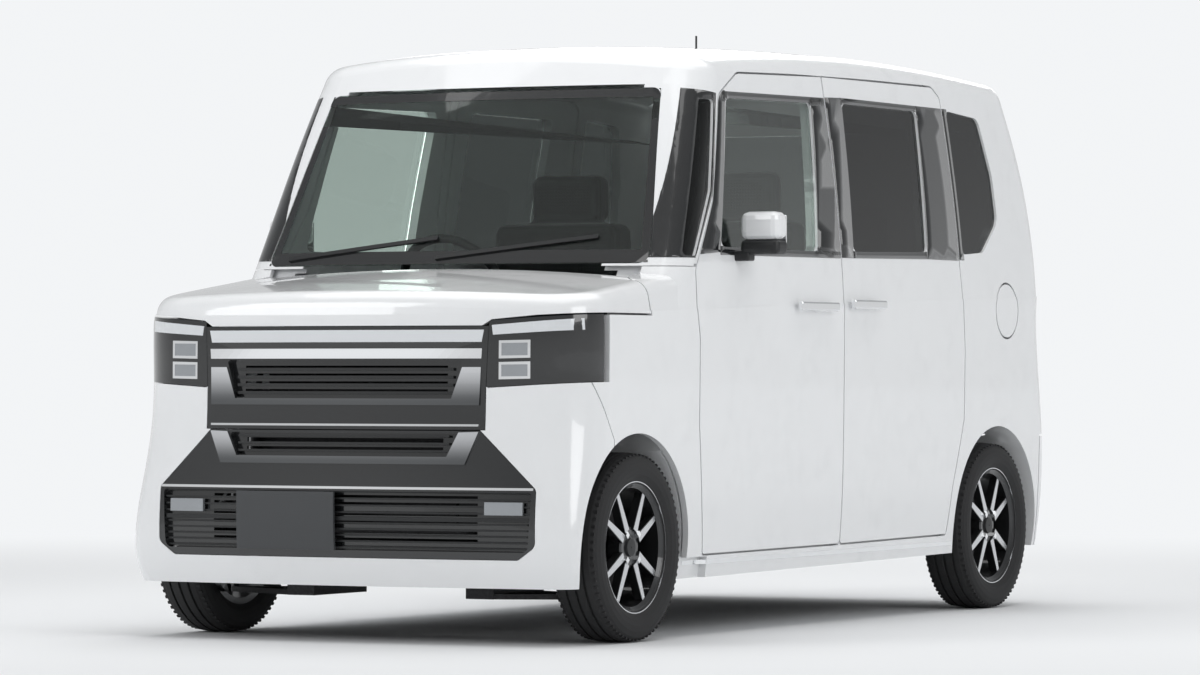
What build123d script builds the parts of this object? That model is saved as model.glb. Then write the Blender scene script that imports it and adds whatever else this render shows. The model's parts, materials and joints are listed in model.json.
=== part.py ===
"""Kei car: a tall wagon with two hinged front doors, two sliding rear doors and a tailgate.

Millimetres. X points to the car's left, Y to its rear and Z up. While it is modelled, Y is
measured from the front axle and Z from the ground; each piece is moved on export, so that
the origin lies on the ground below the middle of the car.
"""
from build123d import *
import math
import os

# Overall sizes
WHEELBASE = 2520
TRACK = 1305
FRONT_OVERHANG = 440
REAR_OVERHANG = 435
HALF_WIDTH = 737
ORIGIN_Y = (WHEELBASE + REAR_OVERHANG - FRONT_OVERHANG) / 2

# Wheels and tyres
TYRE_R = 268
TYRE_WIDTH = 155
RIM_R = 192
RIM_WIDTH = 126
BEAD_R = 178
BARREL_R = 168
HUB_BORE_R = 12.05
RUNNING_GAP = 0.05
LUG_PCD = 100
LUG_COUNT = 4
SPOKE_PAIRS = 4
DISC_R = 118

# Clearances and panel thickness
SHUT_GAP = 6
PANEL = 18
DOOR_WALL = 88
PILLAR_WALL = 42
COWL_SHELF_Y = 300
COWL_SHELF_Z = 1000
GLASS = 5
GLASS_GAP = 0.3
SEAT_GAP = 0.3
FLANGE = 30
INNER_GAP = 11
GATE_GAP = 8.5
FLAP_R = 86
FLAP_PLACE = (2586, 964)
FLAP_THICK = 6
FLAP_POCKET_X = 690
HINGE_X = 731
HINGE_Y = 366
HINGE_LEAN = 1.2
HINGE_RECESS_R = 28
ARCH_R = 328
ARCH_Z = 262
FRONT_ARCH_Y = -18
WELL_INNER_X = 535
HOUSE_WALL = 15
INNER_DOOR_Z = 304

# Joints
KINGPIN_LOW = (604, 0, 150)
KINGPIN_TOP = (520, 0, 790)
PIN_R = 9
AXLE_Z = TYRE_R
WHEEL_X = TRACK / 2
REAR_AXLE_Y = WHEELBASE

# Body levels
SILL_Z = 165
FLOOR_Z = 290
BELT_RISE = 1.6
CREASE_Z = 935

# Levels of the body below the crease.
# Columns: height, rise to the rear (degrees), half width, front, front bow, front corner,
# rear, rear bow, rear corner
LOWER_ROWS = [
    (SILL_Z, 0.6, 712, -415, 40, 70, 2935, 30, 45),
    (340, 0.8, 728, -FRONT_OVERHANG, 45, 75, WHEELBASE + REAR_OVERHANG, 35, 45),
    (560, 1.0, 734, -436, 70, 170, WHEELBASE + REAR_OVERHANG, 38, 60),
    (735, 1.3, 736, -430, 76, 200, 2940, 40, 85),
    (CREASE_Z, BELT_RISE, HALF_WIDTH, -424, 76, 200, 2937, 40, 90),
]
LEDGE = 1.5
OVERLAP_Z = CREASE_Z - 12
COWL_FRONT = -380
NOSE_ROWS = [
    (OVERLAP_Z, BELT_RISE, HALF_WIDTH - LEDGE, -424 + LEDGE, 76, 200, 2937 - LEDGE, 40, 90),
    (1120, BELT_RISE, 697, -396, 76, 190, 2937, 40, 90),
]
CABIN_ROWS = [
    (OVERLAP_Z, BELT_RISE, HALF_WIDTH - LEDGE, 60, 92, 110, 2937 - LEDGE, 40, 90),
    (1090, BELT_RISE, 725, 171, 92, 115, 2928, 42, 90),
    (1330, BELT_RISE, 700, 294, 85, 125, 2888, 45, 90),
    (1560, BELT_RISE, 668, 412, 77, 135, 2806, 45, 90),
    (1850, BELT_RISE, 625, 560, 70, 140, 2700, 45, 90),
]
# Crowned tops. Columns: place along the car, height at the centre, drop at the sides
ROOF_ROWS = [(0, 1660, 60), (800, 1742, 60), (1500, 1773, 60), (2200, 1768, 60), (3000, 1725, 60)]
BONNET_ROWS = [(-500, 970, 30), (-300, 1004, 34), (0, 1046, 38), (400, 1098, 40)]
CROWN_HALF = 750
ROOF_ROUND = 75
BONNET_ROUND = 55

# Side view outlines. Columns: place along the car, height, corner radius
FRONT_DOOR = [
    (407, 235, 12), (386, 385, 60), (362, 610, 200), (362, 860, 60), (345, 944, 30),
    (348, 1057, 20), (494, 1262, 0), (612, 1575, 60), (756, 1648, 80), (1337, 1667, 6),
    (1340, 1000, 0), (1340, 240, 16),
]
SLIDING_DOOR = [
    (1340, 240, 16), (1340, 1667, 6), (2150, 1674, 60), (2205, 1640, 30), (2222, 1124, 200),
    (2240, 930, 100), (2250, 838, 60), (2247, 612, 30), (2168, 402, 60), (2135, 248, 12),
]
FRONT_WINDOW = [(520, 1128, 20), (660, 1568, 28), (1240, 1580, 22), (1176, 1128, 22)]
SLIDING_WINDOW = [(1429, 1132, 22), (1459, 1588, 22), (2009, 1588, 22), (1979, 1142, 22)]
REAR_QUARTER = [
    (2252, 1140, 20), (2416, 1150, 60), (2552, 1250, 60), (2546, 1399, 90), (2486, 1585, 40),
    (2240, 1601, 20),
]
FRONT_QUARTER = [(296, 1098, 10), (350, 1098, 12), (486, 1290, 40), (578, 1560, 10), (520, 1560, 10)]
ROOF_REGION = [
    (200, 1604, 0), (600, 1604, 0), (640, 1640, 0), (756, 1656, 0), (2150, 1682, 0),
    (2700, 1682, 0), (2735, 1900, 0), (200, 1900, 0),
]
# Front view outlines. Columns: place across the car, height, corner radius
WINDSCREEN = [(-640, 1075, 30), (640, 1075, 30), (552, 1594, 30), (-552, 1594, 30)]
TAILGATE = [
    (-640, 560, 30), (640, 560, 30), (655, 1180, 40), (600, 1640, 60), (596, 1800, 0),
    (-596, 1800, 0), (-600, 1640, 60), (-655, 1180, 40),
]
REAR_WINDOW = [(-560, 1130, 50), (560, 1130, 50), (520, 1560, 50), (-520, 1560, 50)]
LAMP_OUTLINE = [(462, 906, 6), (760, 926, 0), (760, 738, 0), (455, 720, 6)]
UPPER_GRILLE = [(-455, 600, 0), (455, 600, 0), (455, 720, 0), (462, 892, 0), (-462, 892, 0), (-455, 720, 0)]
LOWER_GRILLE = [(-440, 600, 0), (-613, 436, 20), (-613, 278, 26), (-560, 240, 20),
                (560, 240, 20), (613, 278, 26), (613, 436, 20), (440, 600, 0)]
PLATE = (330, 165, 8)
PLATE_CENTRE = (-170, 347)


def outline(points):
    """Face from rows of two coordinates and a corner radius."""
    face = make_face(Polyline(*[(u, v) for u, v, _ in points], close=True))
    for u, v, radius in points:
        if radius:
            corner = face.vertices().sort_by_distance((u, v, 0))[0]
            face = fillet(corner, radius)
    return face


def side_prism(points, x0, x1, grow=0):
    """Solid with a side view outline, from x0 to x1."""
    face = outline(points)
    if grow:
        face = offset(face, grow)
    return extrude(Plane.YZ.offset(x0) * face, x1 - x0)


def front_prism(points, y0, y1, grow=0):
    """Solid with a front view outline, from y0 to y1."""
    face = outline(points)
    if grow:
        face = offset(face, grow)
    return extrude(Plane.XZ.offset(-y1) * face, y1 - y0)


def plan_prism(points, z0, z1, grow=0):
    """Solid with a plan outline, from z0 to z1."""
    face = outline(points)
    if grow:
        face = offset(face, grow)
    return extrude(Plane.XY.offset(z0) * face, z1 - z0)


def box(x, y, z):
    """Box from pairs of limits."""
    size = [high - low for low, high in (x, y, z)]
    middle = [(high + low) / 2 for low, high in (x, y, z)]
    return Pos(*middle) * Box(*size)


def cylinder_x(x, y, z, radius):
    """Cylinder along X between the limits x, centred on y and z."""
    return Pos((x[0] + x[1]) / 2, y, z) * Rot(0, 90, 0) * Cylinder(radius, x[1] - x[0])


def rod(start, end, radius):
    """Round bar between two points."""
    axis = Vector(*end) - Vector(*start)
    plane = Plane(origin=start, z_dir=axis)
    return extrude(plane * Circle(radius), axis.length)


def flip(shape):
    """Mirror image on the other side of the car."""
    return mirror(shape, about=Plane.YZ)


def section(row, inset):
    """Plan outline of the body at one level, set in by a distance."""
    height, rise, width, front, front_bow, front_corner, rear, rear_bow, rear_corner = row
    width, front, rear = width - inset, front + inset, rear - inset
    face = make_face([
        ThreePointArc((-width, front + front_bow), (0, front), (width, front + front_bow)),
        Line((width, front + front_bow), (width, rear - rear_bow)),
        ThreePointArc((width, rear - rear_bow), (0, rear), (-width, rear - rear_bow)),
        Line((-width, rear - rear_bow), (-width, front + front_bow)),
    ])
    face = fillet(face.vertices().sort_by(Axis.Y)[:2], max(front_corner - inset, 15))
    face = fillet(face.vertices().sort_by(Axis.Y)[-2:], max(rear_corner - inset, 12))
    angle = math.radians(rise)
    plane = Plane(origin=(0, 0, height), x_dir=(1, 0, 0), z_dir=(0, -math.sin(angle), math.cos(angle)))
    return plane * face


def crowned(rows, inset):
    """Solid below a top that is curved across and along the car."""
    faces = []
    for place, height, drop in rows:
        side, top = height - drop - inset, height - inset
        face = make_face([
            ThreePointArc((-CROWN_HALF, side), (0, top), (CROWN_HALF, side)),
            Line((CROWN_HALF, side), (CROWN_HALF, 600)),
            Line((CROWN_HALF, 600), (-CROWN_HALF, 600)),
            Line((-CROWN_HALF, 600), (-CROWN_HALF, side)),
        ])
        faces.append(Plane(origin=(0, place, 0), x_dir=(1, 0, 0), z_dir=(0, -1, 0)) * face)
    return loft(faces)


def round_top(solid, radius):
    """Round the edges of the topmost face, apart from a cut across the car."""
    top = solid.faces().sort_by(Axis.Z)[-1]
    edges = [edge for edge in top.edges() if edge.center().Y < 430 or edge.center().Z > 1500]
    return fillet(edges, radius)


def lower_skin(inset):
    """Outside of the body below the crease, set in by a distance."""
    return loft([section(row, inset) for row in LOWER_ROWS])


def cabin_skin(inset):
    """Outside of the glasshouse and roof, set in by a distance."""
    cabin = loft([section(row, inset) for row in CABIN_ROWS]) & crowned(ROOF_ROWS, inset)
    return round_top(cabin, ROOF_ROUND - inset / 2)


def nose_skin(inset):
    """Outside of the bonnet and the tops of the fenders, set in by a distance."""
    nose = loft([section(row, inset) for row in NOSE_ROWS]) & crowned(BONNET_ROWS, inset)
    nose = nose & box((-800, 800), (-600, 450), (800, 1300))
    return round_top(nose, BONNET_ROUND - inset / 2)


def body_skin(inset):
    """Whole outside of the body, set in by a distance."""
    return (lower_skin(inset) + cabin_skin(inset)) + nose_skin(inset)


def lower_room(inset):
    """Space between the door walls from the floor to the belt, set in by a distance."""
    height, rise, width, front, front_bow, front_corner, *rear = CABIN_ROWS[1]
    belt = (height, rise, width, COWL_FRONT, front_bow, front_corner, *rear)
    walls = [section(row, DOOR_WALL + inset) for row in LOWER_ROWS[:4]]
    return loft(walls + [section(belt, PILLAR_WALL + inset)])


def cowl_shelf(grow):
    """Space of the cowl that stands into the room under the windscreen, grown by a distance."""
    return box((-800, 800), (0, COWL_SHELF_Y + grow), (COWL_SHELF_Z - grow, 1300))


def cabin_void():
    """Room inside the cabin: below the belt and above it."""
    lower = lower_room(0) & box((-800, 800), (190, 2860), (FLOOR_Z, 1300))
    upper = loft([section(row, PILLAR_WALL) for row in CABIN_ROWS[1:]]) & crowned(ROOF_ROWS, PILLAR_WALL)
    upper = round_top(upper, ROOF_ROUND - PILLAR_WALL / 2)
    house = cylinder_x((WELL_INNER_X - HOUSE_WALL, 900), REAR_AXLE_Y, ARCH_Z, ARCH_R + HOUSE_WALL)
    lower = lower - box((-800, 800), (0, 345), (0, 560)) - cowl_shelf(0)
    return lower - house - flip(house), upper


def hollow(solid):
    """Cut the room of the cabin from a solid."""
    return solid - CABIN_LOWER - CABIN_UPPER


SKIN = body_skin(0)
UNDER_PANEL = body_skin(PANEL)
UNDER_GAP = lower_skin(PANEL + SHUT_GAP) + cabin_skin(PANEL + SHUT_GAP)
CABIN_LOWER, CABIN_UPPER = cabin_void()
SIDE_GLASS = cabin_skin(8) - cabin_skin(8 + GLASS)
FAR = 950


def left_wells():
    """Space cleared round the left wheels."""
    wells = [cylinder_x((WELL_INNER_X, FAR), place, ARCH_Z, ARCH_R) for place in (FRONT_ARCH_Y, REAR_AXLE_Y)]
    return wells[0] + wells[1]


LEFT_WELLS = left_wells()
WELLS = LEFT_WELLS + flip(LEFT_WELLS)


def inner_space(points, grow, floor):
    """Room of a door's inner wall, above a level."""
    return side_prism(points, 560, FAR, grow) & box((500, FAR), (0, 3000), (floor, 2000))


def side_door(points, window):
    """Door of the left side: outer panel over a deeper inner wall, with its window cut."""
    hole = side_prism(window, 300, FAR)
    outer = (SKIN & (side_prism(points, 560, FAR, -SHUT_GAP / 2) - hole)) - UNDER_PANEL
    inner = hollow(UNDER_PANEL & (inner_space(points, -FLANGE, INNER_DOOR_Z) - hole))
    return outer + inner


def window_glass(window, x0=300):
    """Pane of the left side, a little smaller than its window."""
    return SIDE_GLASS & side_prism(window, x0, FAR, -GLASS_GAP)


def hinge_point(height):
    """Point of the front door's hinge line at one height."""
    lean = math.tan(math.radians(HINGE_LEAN))
    return (HINGE_X - lean * (height - CREASE_Z), HINGE_Y, height)


def fuel_flap():
    """Round lid of the filler."""
    lid = SKIN & cylinder_x((FLAP_POCKET_X, FAR), *FLAP_PLACE, FLAP_R)
    return lid - lower_skin(FLAP_THICK) - cabin_skin(FLAP_THICK)


def side_frame():
    """Pillars, sill, roof rail, rear quarter and wheelhouse of the left side."""
    doors = [FRONT_DOOR, SLIDING_DOOR]
    region = side_prism([(160, SILL_Z - 20, 0), (160, 1604, 0), (600, 1604, 0), (640, 1640, 0),
                         (756, 1656, 0), (2150, 1682, 0), (2700, 1682, 0), (2860, 1600, 0),
                         (2960, 1000, 0), (2960, 570, 0), (2860, 560, 0), (2860, SILL_Z - 20, 0)],
                        500, FAR)
    region = region - side_prism(REAR_QUARTER, 300, FAR) - side_prism(FRONT_QUARTER, 300, FAR)
    region = region - front_prism(WINDSCREEN, 0, 620) - front_prism(TAILGATE, 2650, 3100, GATE_GAP / 2)
    region = region - box((0, 540), (0, 3000), (0, 1055)) - LEFT_WELLS - tail_lamp_space(SEAT_GAP)
    region = region - cylinder_x((FLAP_POCKET_X, FAR), *FLAP_PLACE, FLAP_R + SHUT_GAP + 0.5)
    region = region - rod(hinge_point(560), hinge_point(1075), HINGE_RECESS_R)
    deep_region, skin_region = region, region - box((300, FAR), (0, 440), (0, 1068))
    for points in doors:
        deep_region = deep_region - inner_space(points, INNER_GAP - FLANGE, INNER_DOOR_Z - SHUT_GAP)
        skin_region = skin_region - side_prism(points, 300, FAR, SHUT_GAP / 2)
    deep = hollow(UNDER_GAP & deep_region)
    return deep + ((SKIN & skin_region) - UNDER_GAP)


def roof_panel():
    """Roof with its front header."""
    region = side_prism(ROOF_REGION, -FAR, FAR) - front_prism(WINDSCREEN, 0, 620)
    region = region - front_prism(TAILGATE, 2650, 3100, GATE_GAP / 2)
    return hollow(SKIN & region)


def windscreen():
    layer = cabin_skin(3) - cabin_skin(3 + GLASS)
    return layer & front_prism(WINDSCREEN, 0, 620, -GLASS_GAP)


def fixed_side_glass():
    """Quarter windows and sliding door windows of both sides."""
    panes = []
    for window in (FRONT_QUARTER, REAR_QUARTER):
        pane = window_glass(window, 450)
        panes += [pane, flip(pane)]
    return panes


def tailgate():
    region = front_prism(TAILGATE, 2650, 3100, -GATE_GAP / 2) - front_prism(REAR_WINDOW, 2600, 3100)
    region = region & side_prism([(2745, 1900, 0), (2708, 1680, 0), (2790, 560, 0), (3050, 560, 0),
                                  (3050, 1900, 0)], -FAR, FAR)
    return hollow(SKIN & region)


def tailgate_glass():
    layer = cabin_skin(4) - cabin_skin(4 + GLASS)
    return layer & front_prism(REAR_WINDOW, 2650, 3100, -GLASS_GAP)


BONNET_FRONT = [(-800, 932, 0), (-600, 921, 0), (-468, 909, 0), (-440, 892, 0), (440, 892, 0),
                (468, 909, 0), (600, 921, 0), (800, 932, 0), (800, 1200, 0), (-800, 1200, 0)]
BONNET_PLAN = [(-620, 120, 0), (-668, 60, 20), (-800, 44, 0), (-800, -600, 0), (800, -600, 0),
               (800, 44, 0), (668, 60, 20), (620, 120, 0)]
FENDER_SIDE = [(-262, 924, 0), (-270, 736, 0), (-205, 628, 0), (-164, 571, 0), (-164, 230, 0),
               (440, 230, 0), (440, 1066, 0), (41, 1066, 0), (41, 934, 0)]


def bonnet():
    return (SKIN & bonnet_space(0)) - UNDER_PANEL


def bonnet_space(gap):
    """Room of the bonnet, widened by a gap."""
    return front_prism(BONNET_FRONT, -600, 200, gap) & plan_prism(BONNET_PLAN, 700, 1300, gap)


def front_fender():
    region = side_prism(FENDER_SIDE, 400, FAR) - bonnet_space(SHUT_GAP)
    region = region - box((400, 620), (0, 600), (900, 1200)) - side_prism(FRONT_DOOR, 300, FAR, SHUT_GAP / 2)
    region = region - front_prism(LAMP_OUTLINE, -600, -200, 2) - LEFT_WELLS
    return (SKIN & region) - UNDER_PANEL


def headlamp():
    return (lower_skin(0) & front_prism(LAMP_OUTLINE, -600, -226)) - lower_skin(62)


def front_bumper():
    region = side_prism([(-600, 0, 0), (-600, 735, 0), (-274, 735, 0), (-209, 628, 0), (-168, 571, 0),
                         (-168, 0, 0)], -FAR, FAR)
    lamp = front_prism(LAMP_OUTLINE, -600, -200, 2)
    region = region - lamp - flip(lamp) - WELLS
    region = region - front_prism(UPPER_GRILLE, -600, -300) - front_prism(LOWER_GRILLE, -600, -300)
    return (lower_skin(0) & region) - lower_skin(PANEL)


def slats(x_half, levels, y0, y1, height):
    """Level bars across a grille opening."""
    bars = [box((-x_half, x_half), (y0, y1), (level, level + height)) for level in levels]
    return bars


def upper_grille():
    """Light bar, bright bar, slatted opening and the band round it."""
    opening = front_prism([(-352, 690, 8), (352, 690, 8), (384, 796, 8), (-384, 796, 8)], -600, -300)
    block = (lower_skin(0) & (front_prism(UPPER_GRILLE, -600, -300, -1.5) - opening)) - lower_skin(30)
    for level in (704, 726, 748, 770):
        opening = opening - box((-330, 330), (-600, -300), (level, level + 10))
    return block + ((lower_skin(18) & opening) - lower_skin(26))


def lower_grille():
    """Garnish with the wide intake, its slats and the fog lamp recesses."""
    upper = front_prism([(-340, 527, 8), (340, 527, 8), (372, 592, 8), (-372, 592, 8)], -600, -300)
    lower = front_prism([(-590, 262, 20), (590, 262, 20), (600, 428, 10), (-600, 428, 10)], -600, -300)
    block = front_prism(LOWER_GRILLE, -600, -300, -1.5) - upper - lower
    block = (lower_skin(0) & block) - lower_skin(30)
    openings = upper + lower
    for level in (285, 310, 335, 360, 385, 405, 540, 565):
        half = 430 if level < 500 else 320
        openings = openings - box((-half, half), (-600, -300), (level, level + 12))
    return block + ((lower_skin(18) & openings) - lower_skin(26))


def rear_bumper():
    region = side_prism([(2866, 150, 0), (2866, 554, 0), (3050, 554, 0), (3050, 150, 0)], -FAR, FAR)
    return (lower_skin(0) & region) - lower_skin(PANEL)


TAIL_LAMP = [(664, 760, 10), (664, 1170, 10), (800, 1170, 0), (800, 760, 0)]
TAIL_LAMP_Y = 2866


def tail_lamp_space(grow):
    """Room of the left tail lamp, widened by a gap."""
    region = front_prism(TAIL_LAMP, TAIL_LAMP_Y - grow, 3100, grow)
    return region - box((0, 700 - grow), (2500, 2890 - grow), (0, 2000))


def tail_lamps():
    """Tall lamps on both rear corners."""
    lamp = SKIN & tail_lamp_space(0)
    return [lamp, flip(lamp)]


def door_mirror():
    """Shell on a short arm on the front corner of the door."""
    shell = Pos(805, 640, 1168) * Box(128, 78, 124)
    shell = fillet(shell.edges(), 24)
    arm = box((700, 770), (600, 655), (1092, 1122))
    return shell + (arm - cabin_skin(-GLASS_GAP))


def handle(place, height, length):
    """Pull handle bar on two feet."""
    bar = box((752, 764), (place, place + length), (height, height + 22))
    bar = fillet(bar.edges(), 5)
    feet = [box((725, 756), (at, at + 26), (height + 3, height + 19)) for at in (place + 4, place + length - 30)]
    return bar + feet[0] + feet[1]


def rim():
    """Alloy rim with its hub, spokes and brake disc, centred on the wheel plane."""
    half = RIM_WIDTH / 2
    barrel = [
        (-half, BARREL_R), (-half, RIM_R), (-half + 7, RIM_R), (-half + 7, BEAD_R), (half - 7, BEAD_R),
        (half - 7, RIM_R), (half, RIM_R), (half, RIM_R - 6), (half - 12, BARREL_R),
    ]
    ring = revolve(make_face(Polyline(*[(x, r) for x, r in barrel], close=True)), Axis.X)
    hub = cylinder_x((5, 42), 0, 0, 66)
    tube = cylinder_x((-13, 5), 0, 0, 44)
    disc = cylinder_x((-27, -13), 0, 0, DISC_R)
    cap = cylinder_x((42, 50), 0, 0, 27)
    wheel = ring + hub + tube + disc + cap
    for pair in range(SPOKE_PAIRS):
        for turn in (-20, 20):
            angle = 360 / SPOKE_PAIRS * pair + turn + 45
            spoke = box((26, 46), (-9, 9), (55, BARREL_R + 4))
            wheel = wheel + Rot(angle, 0, 0) * spoke
    for lug in range(LUG_COUNT):
        angle = math.radians(360 / LUG_COUNT * lug + 45)
        place = LUG_PCD / 2
        nut = cylinder_x((42, 50), place * math.sin(angle), place * math.cos(angle), 9)
        wheel = wheel + nut
    return wheel - cylinder_x((-40, 30), 0, 0, HUB_BORE_R)


def tyre():
    half = TYRE_WIDTH / 2
    seat_x = RIM_WIDTH / 2 - 7
    points = [
        (-seat_x, BEAD_R), (-seat_x, RIM_R + 1), (-half, 232), (-half + 22, TYRE_R), (half - 22, TYRE_R),
        (half, 232), (seat_x, RIM_R + 1), (seat_x, BEAD_R),
    ]
    return revolve(make_face(Polyline(*points, close=True)), Axis.X)


def knuckle():
    """Wheel carrier with its stub axle, strut and caliper; it turns about the kingpin line."""
    inner = WHEEL_X - 78
    carrier = cylinder_x((inner, WHEEL_X - 34), 0, AXLE_Z, 46)
    axle = cylinder_x((WHEEL_X - 40, WHEEL_X + 24), 0, AXLE_Z, HUB_BORE_R - RUNNING_GAP)
    leg = box((inner + 8, WHEEL_X - 34), (-24, 24), (AXLE_Z - 125, AXLE_Z))
    bracket = box((528, inner + 20), (-20, 20), (AXLE_Z + 6, AXLE_Z + 66))
    strut = rod((545, 0, AXLE_Z + 20), (524, 0, 700), 22)
    spring = rod((536, 0, 585), (526, 0, 700), 52)
    top = rod(kingpin_point(695), kingpin_point(812), PIN_R)
    seat = rod(kingpin_point(695), kingpin_point(712), 54)
    caliper = box((WHEEL_X - 62, WHEEL_X - 34), (40, 104), (AXLE_Z - 40, AXLE_Z + 44))
    solid = carrier + axle + leg + bracket + strut + spring + seat + top + caliper
    bore = rod(kingpin_point(120), kingpin_point(196), PIN_R + RUNNING_GAP)
    return solid - bore


def kingpin_point(height):
    """Point of the steering axis at one height."""
    low, top = Vector(*KINGPIN_LOW), Vector(*KINGPIN_TOP)
    return tuple(low + (top - low) * ((height - low.Z) / (top.Z - low.Z)))


def front_subframe():
    """Rails, crossmembers, control arms and strut towers."""
    parts = box((-480, 480), (-368, -335), (440, 520))
    for side in (1, -1):
        rail = box((340, 400), (-350, 312), (330, 420))
        arm = plan_prism([(250, -150, 0), (250, 150, 0), (330, 150, 20), (617, 15, 12), (617, -15, 12),
                          (330, -150, 20)], 119, 134)
        link = box((250, 340), (-150, 150), (119, 200)) + box((300, 400), (-60, 60), (190, 345))
        pin = rod(kingpin_point(126), kingpin_point(190), PIN_R)
        tower = box((440, 600), (-70, 70), (770, 800)) + box((380, 450), (-70, 70), (400, 800))
        tower = tower - rod(kingpin_point(760), kingpin_point(830), PIN_R + RUNNING_GAP)
        half = rail + arm + link + pin + tower
        parts = parts + (half if side > 0 else flip(half))
    parts = parts + box((-400, 400), (-120, 120), (200, 240))
    parts = parts + box((-320, 320), (-330, -296), (330, 690)) + box((-345, 345), (-350, -320), (400, 450))
    return parts


def rear_axle():
    """Twist beam with trailing arms, drums' backing and stub axles."""
    beam = box((-500, 500), (REAR_AXLE_Y - 150, REAR_AXLE_Y - 90), (185, 235))
    for side in (1, -1):
        arm = box((470, 520), (REAR_AXLE_Y - 420, REAR_AXLE_Y + 40), (185, 245))
        arm = arm + box((500, 560), (REAR_AXLE_Y - 40, REAR_AXLE_Y + 40), (185, 245))
        plate = cylinder_x((526, WHEEL_X - 34), REAR_AXLE_Y, AXLE_Z, 46)
        axle = cylinder_x((WHEEL_X - 60, WHEEL_X + 24), REAR_AXLE_Y, AXLE_Z, HUB_BORE_R - RUNNING_GAP)
        half = arm + plate + axle
        beam = beam + (half if side > 0 else flip(half))
    return beam


def floor_pan():
    pan = box((-540, 540), (345, 2850), (FLOOR_Z - 40, FLOOR_Z))
    return pan - floor_houses()


def floor_houses():
    house = cylinder_x((WELL_INNER_X - HOUSE_WALL, 900), REAR_AXLE_Y, ARCH_Z, ARCH_R + HOUSE_WALL)
    return house + flip(house)


def cowl_bulkhead():
    wall = side_prism([(160, 995, 0), (190, 1000, 0), (190, 560, 0), (345, 560, 0), (345, 250, 0), (315, 250, 0),
                       (315, 530, 0), (160, 530, 0)], -540, 540)
    return wall


def seat(x, y, cushion, back_height, head_z):
    """Cushion, backrest and headrest on one mounting."""
    width = 440
    base = box((x - width / 2, x + width / 2), (y, y + cushion), (470, 600))
    base = fillet(base.edges(), 30)
    foot = box((x - 190, x + 190), (y + 60, y + cushion - 60), (FLOOR_Z, 475))
    back = box((x - width / 2, x + width / 2), (y + cushion - 90, y + cushion + 40), (590, back_height))
    back = fillet(back.edges(), 30)
    head = box((x - 125, x + 125), (y + cushion - 20, y + cushion + 70), (head_z - 150, head_z))
    head = fillet(head.edges(), 28)
    stem = box((x - 70, x + 70), (y + cushion + 5, y + cushion + 25), (back_height - 30, head_z - 120))
    return base + foot + back + head + stem


def dashboard():
    """Dashboard that fills the cabin from door to door, below the windscreen."""
    dash = side_prism([(196, 700, 0), (196, 1010, 30), (330, 1042, 40), (560, 1010, 40), (590, 860, 60),
                       (520, 700, 40)], -600, 600)
    return (dash & CABIN_LOWER & lower_room(SEAT_GAP)) - cowl_shelf(SEAT_GAP)


STEERING_CENTRE = (-340, 830, 1020)
COLUMN_TILT = 28
STEERING_WHEEL_R = 182


def steering_wheel():
    plane = Plane(origin=STEERING_CENTRE, x_dir=(1, 0, 0),
                  z_dir=(0, math.cos(math.radians(COLUMN_TILT)), math.sin(math.radians(COLUMN_TILT))))
    ring = plane * Torus(STEERING_WHEEL_R - 14, 14)
    hub = plane * Pos(0, 0, -12) * Cylinder(62, 36)
    spokes = plane * Pos(0, 0, -6) * Box(2 * (STEERING_WHEEL_R - 18), 34, 14)
    stem = plane * Pos(0, 0, -70) * Cylinder(16, 90)
    return ring + hub + spokes + stem


NODES = {}


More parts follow.
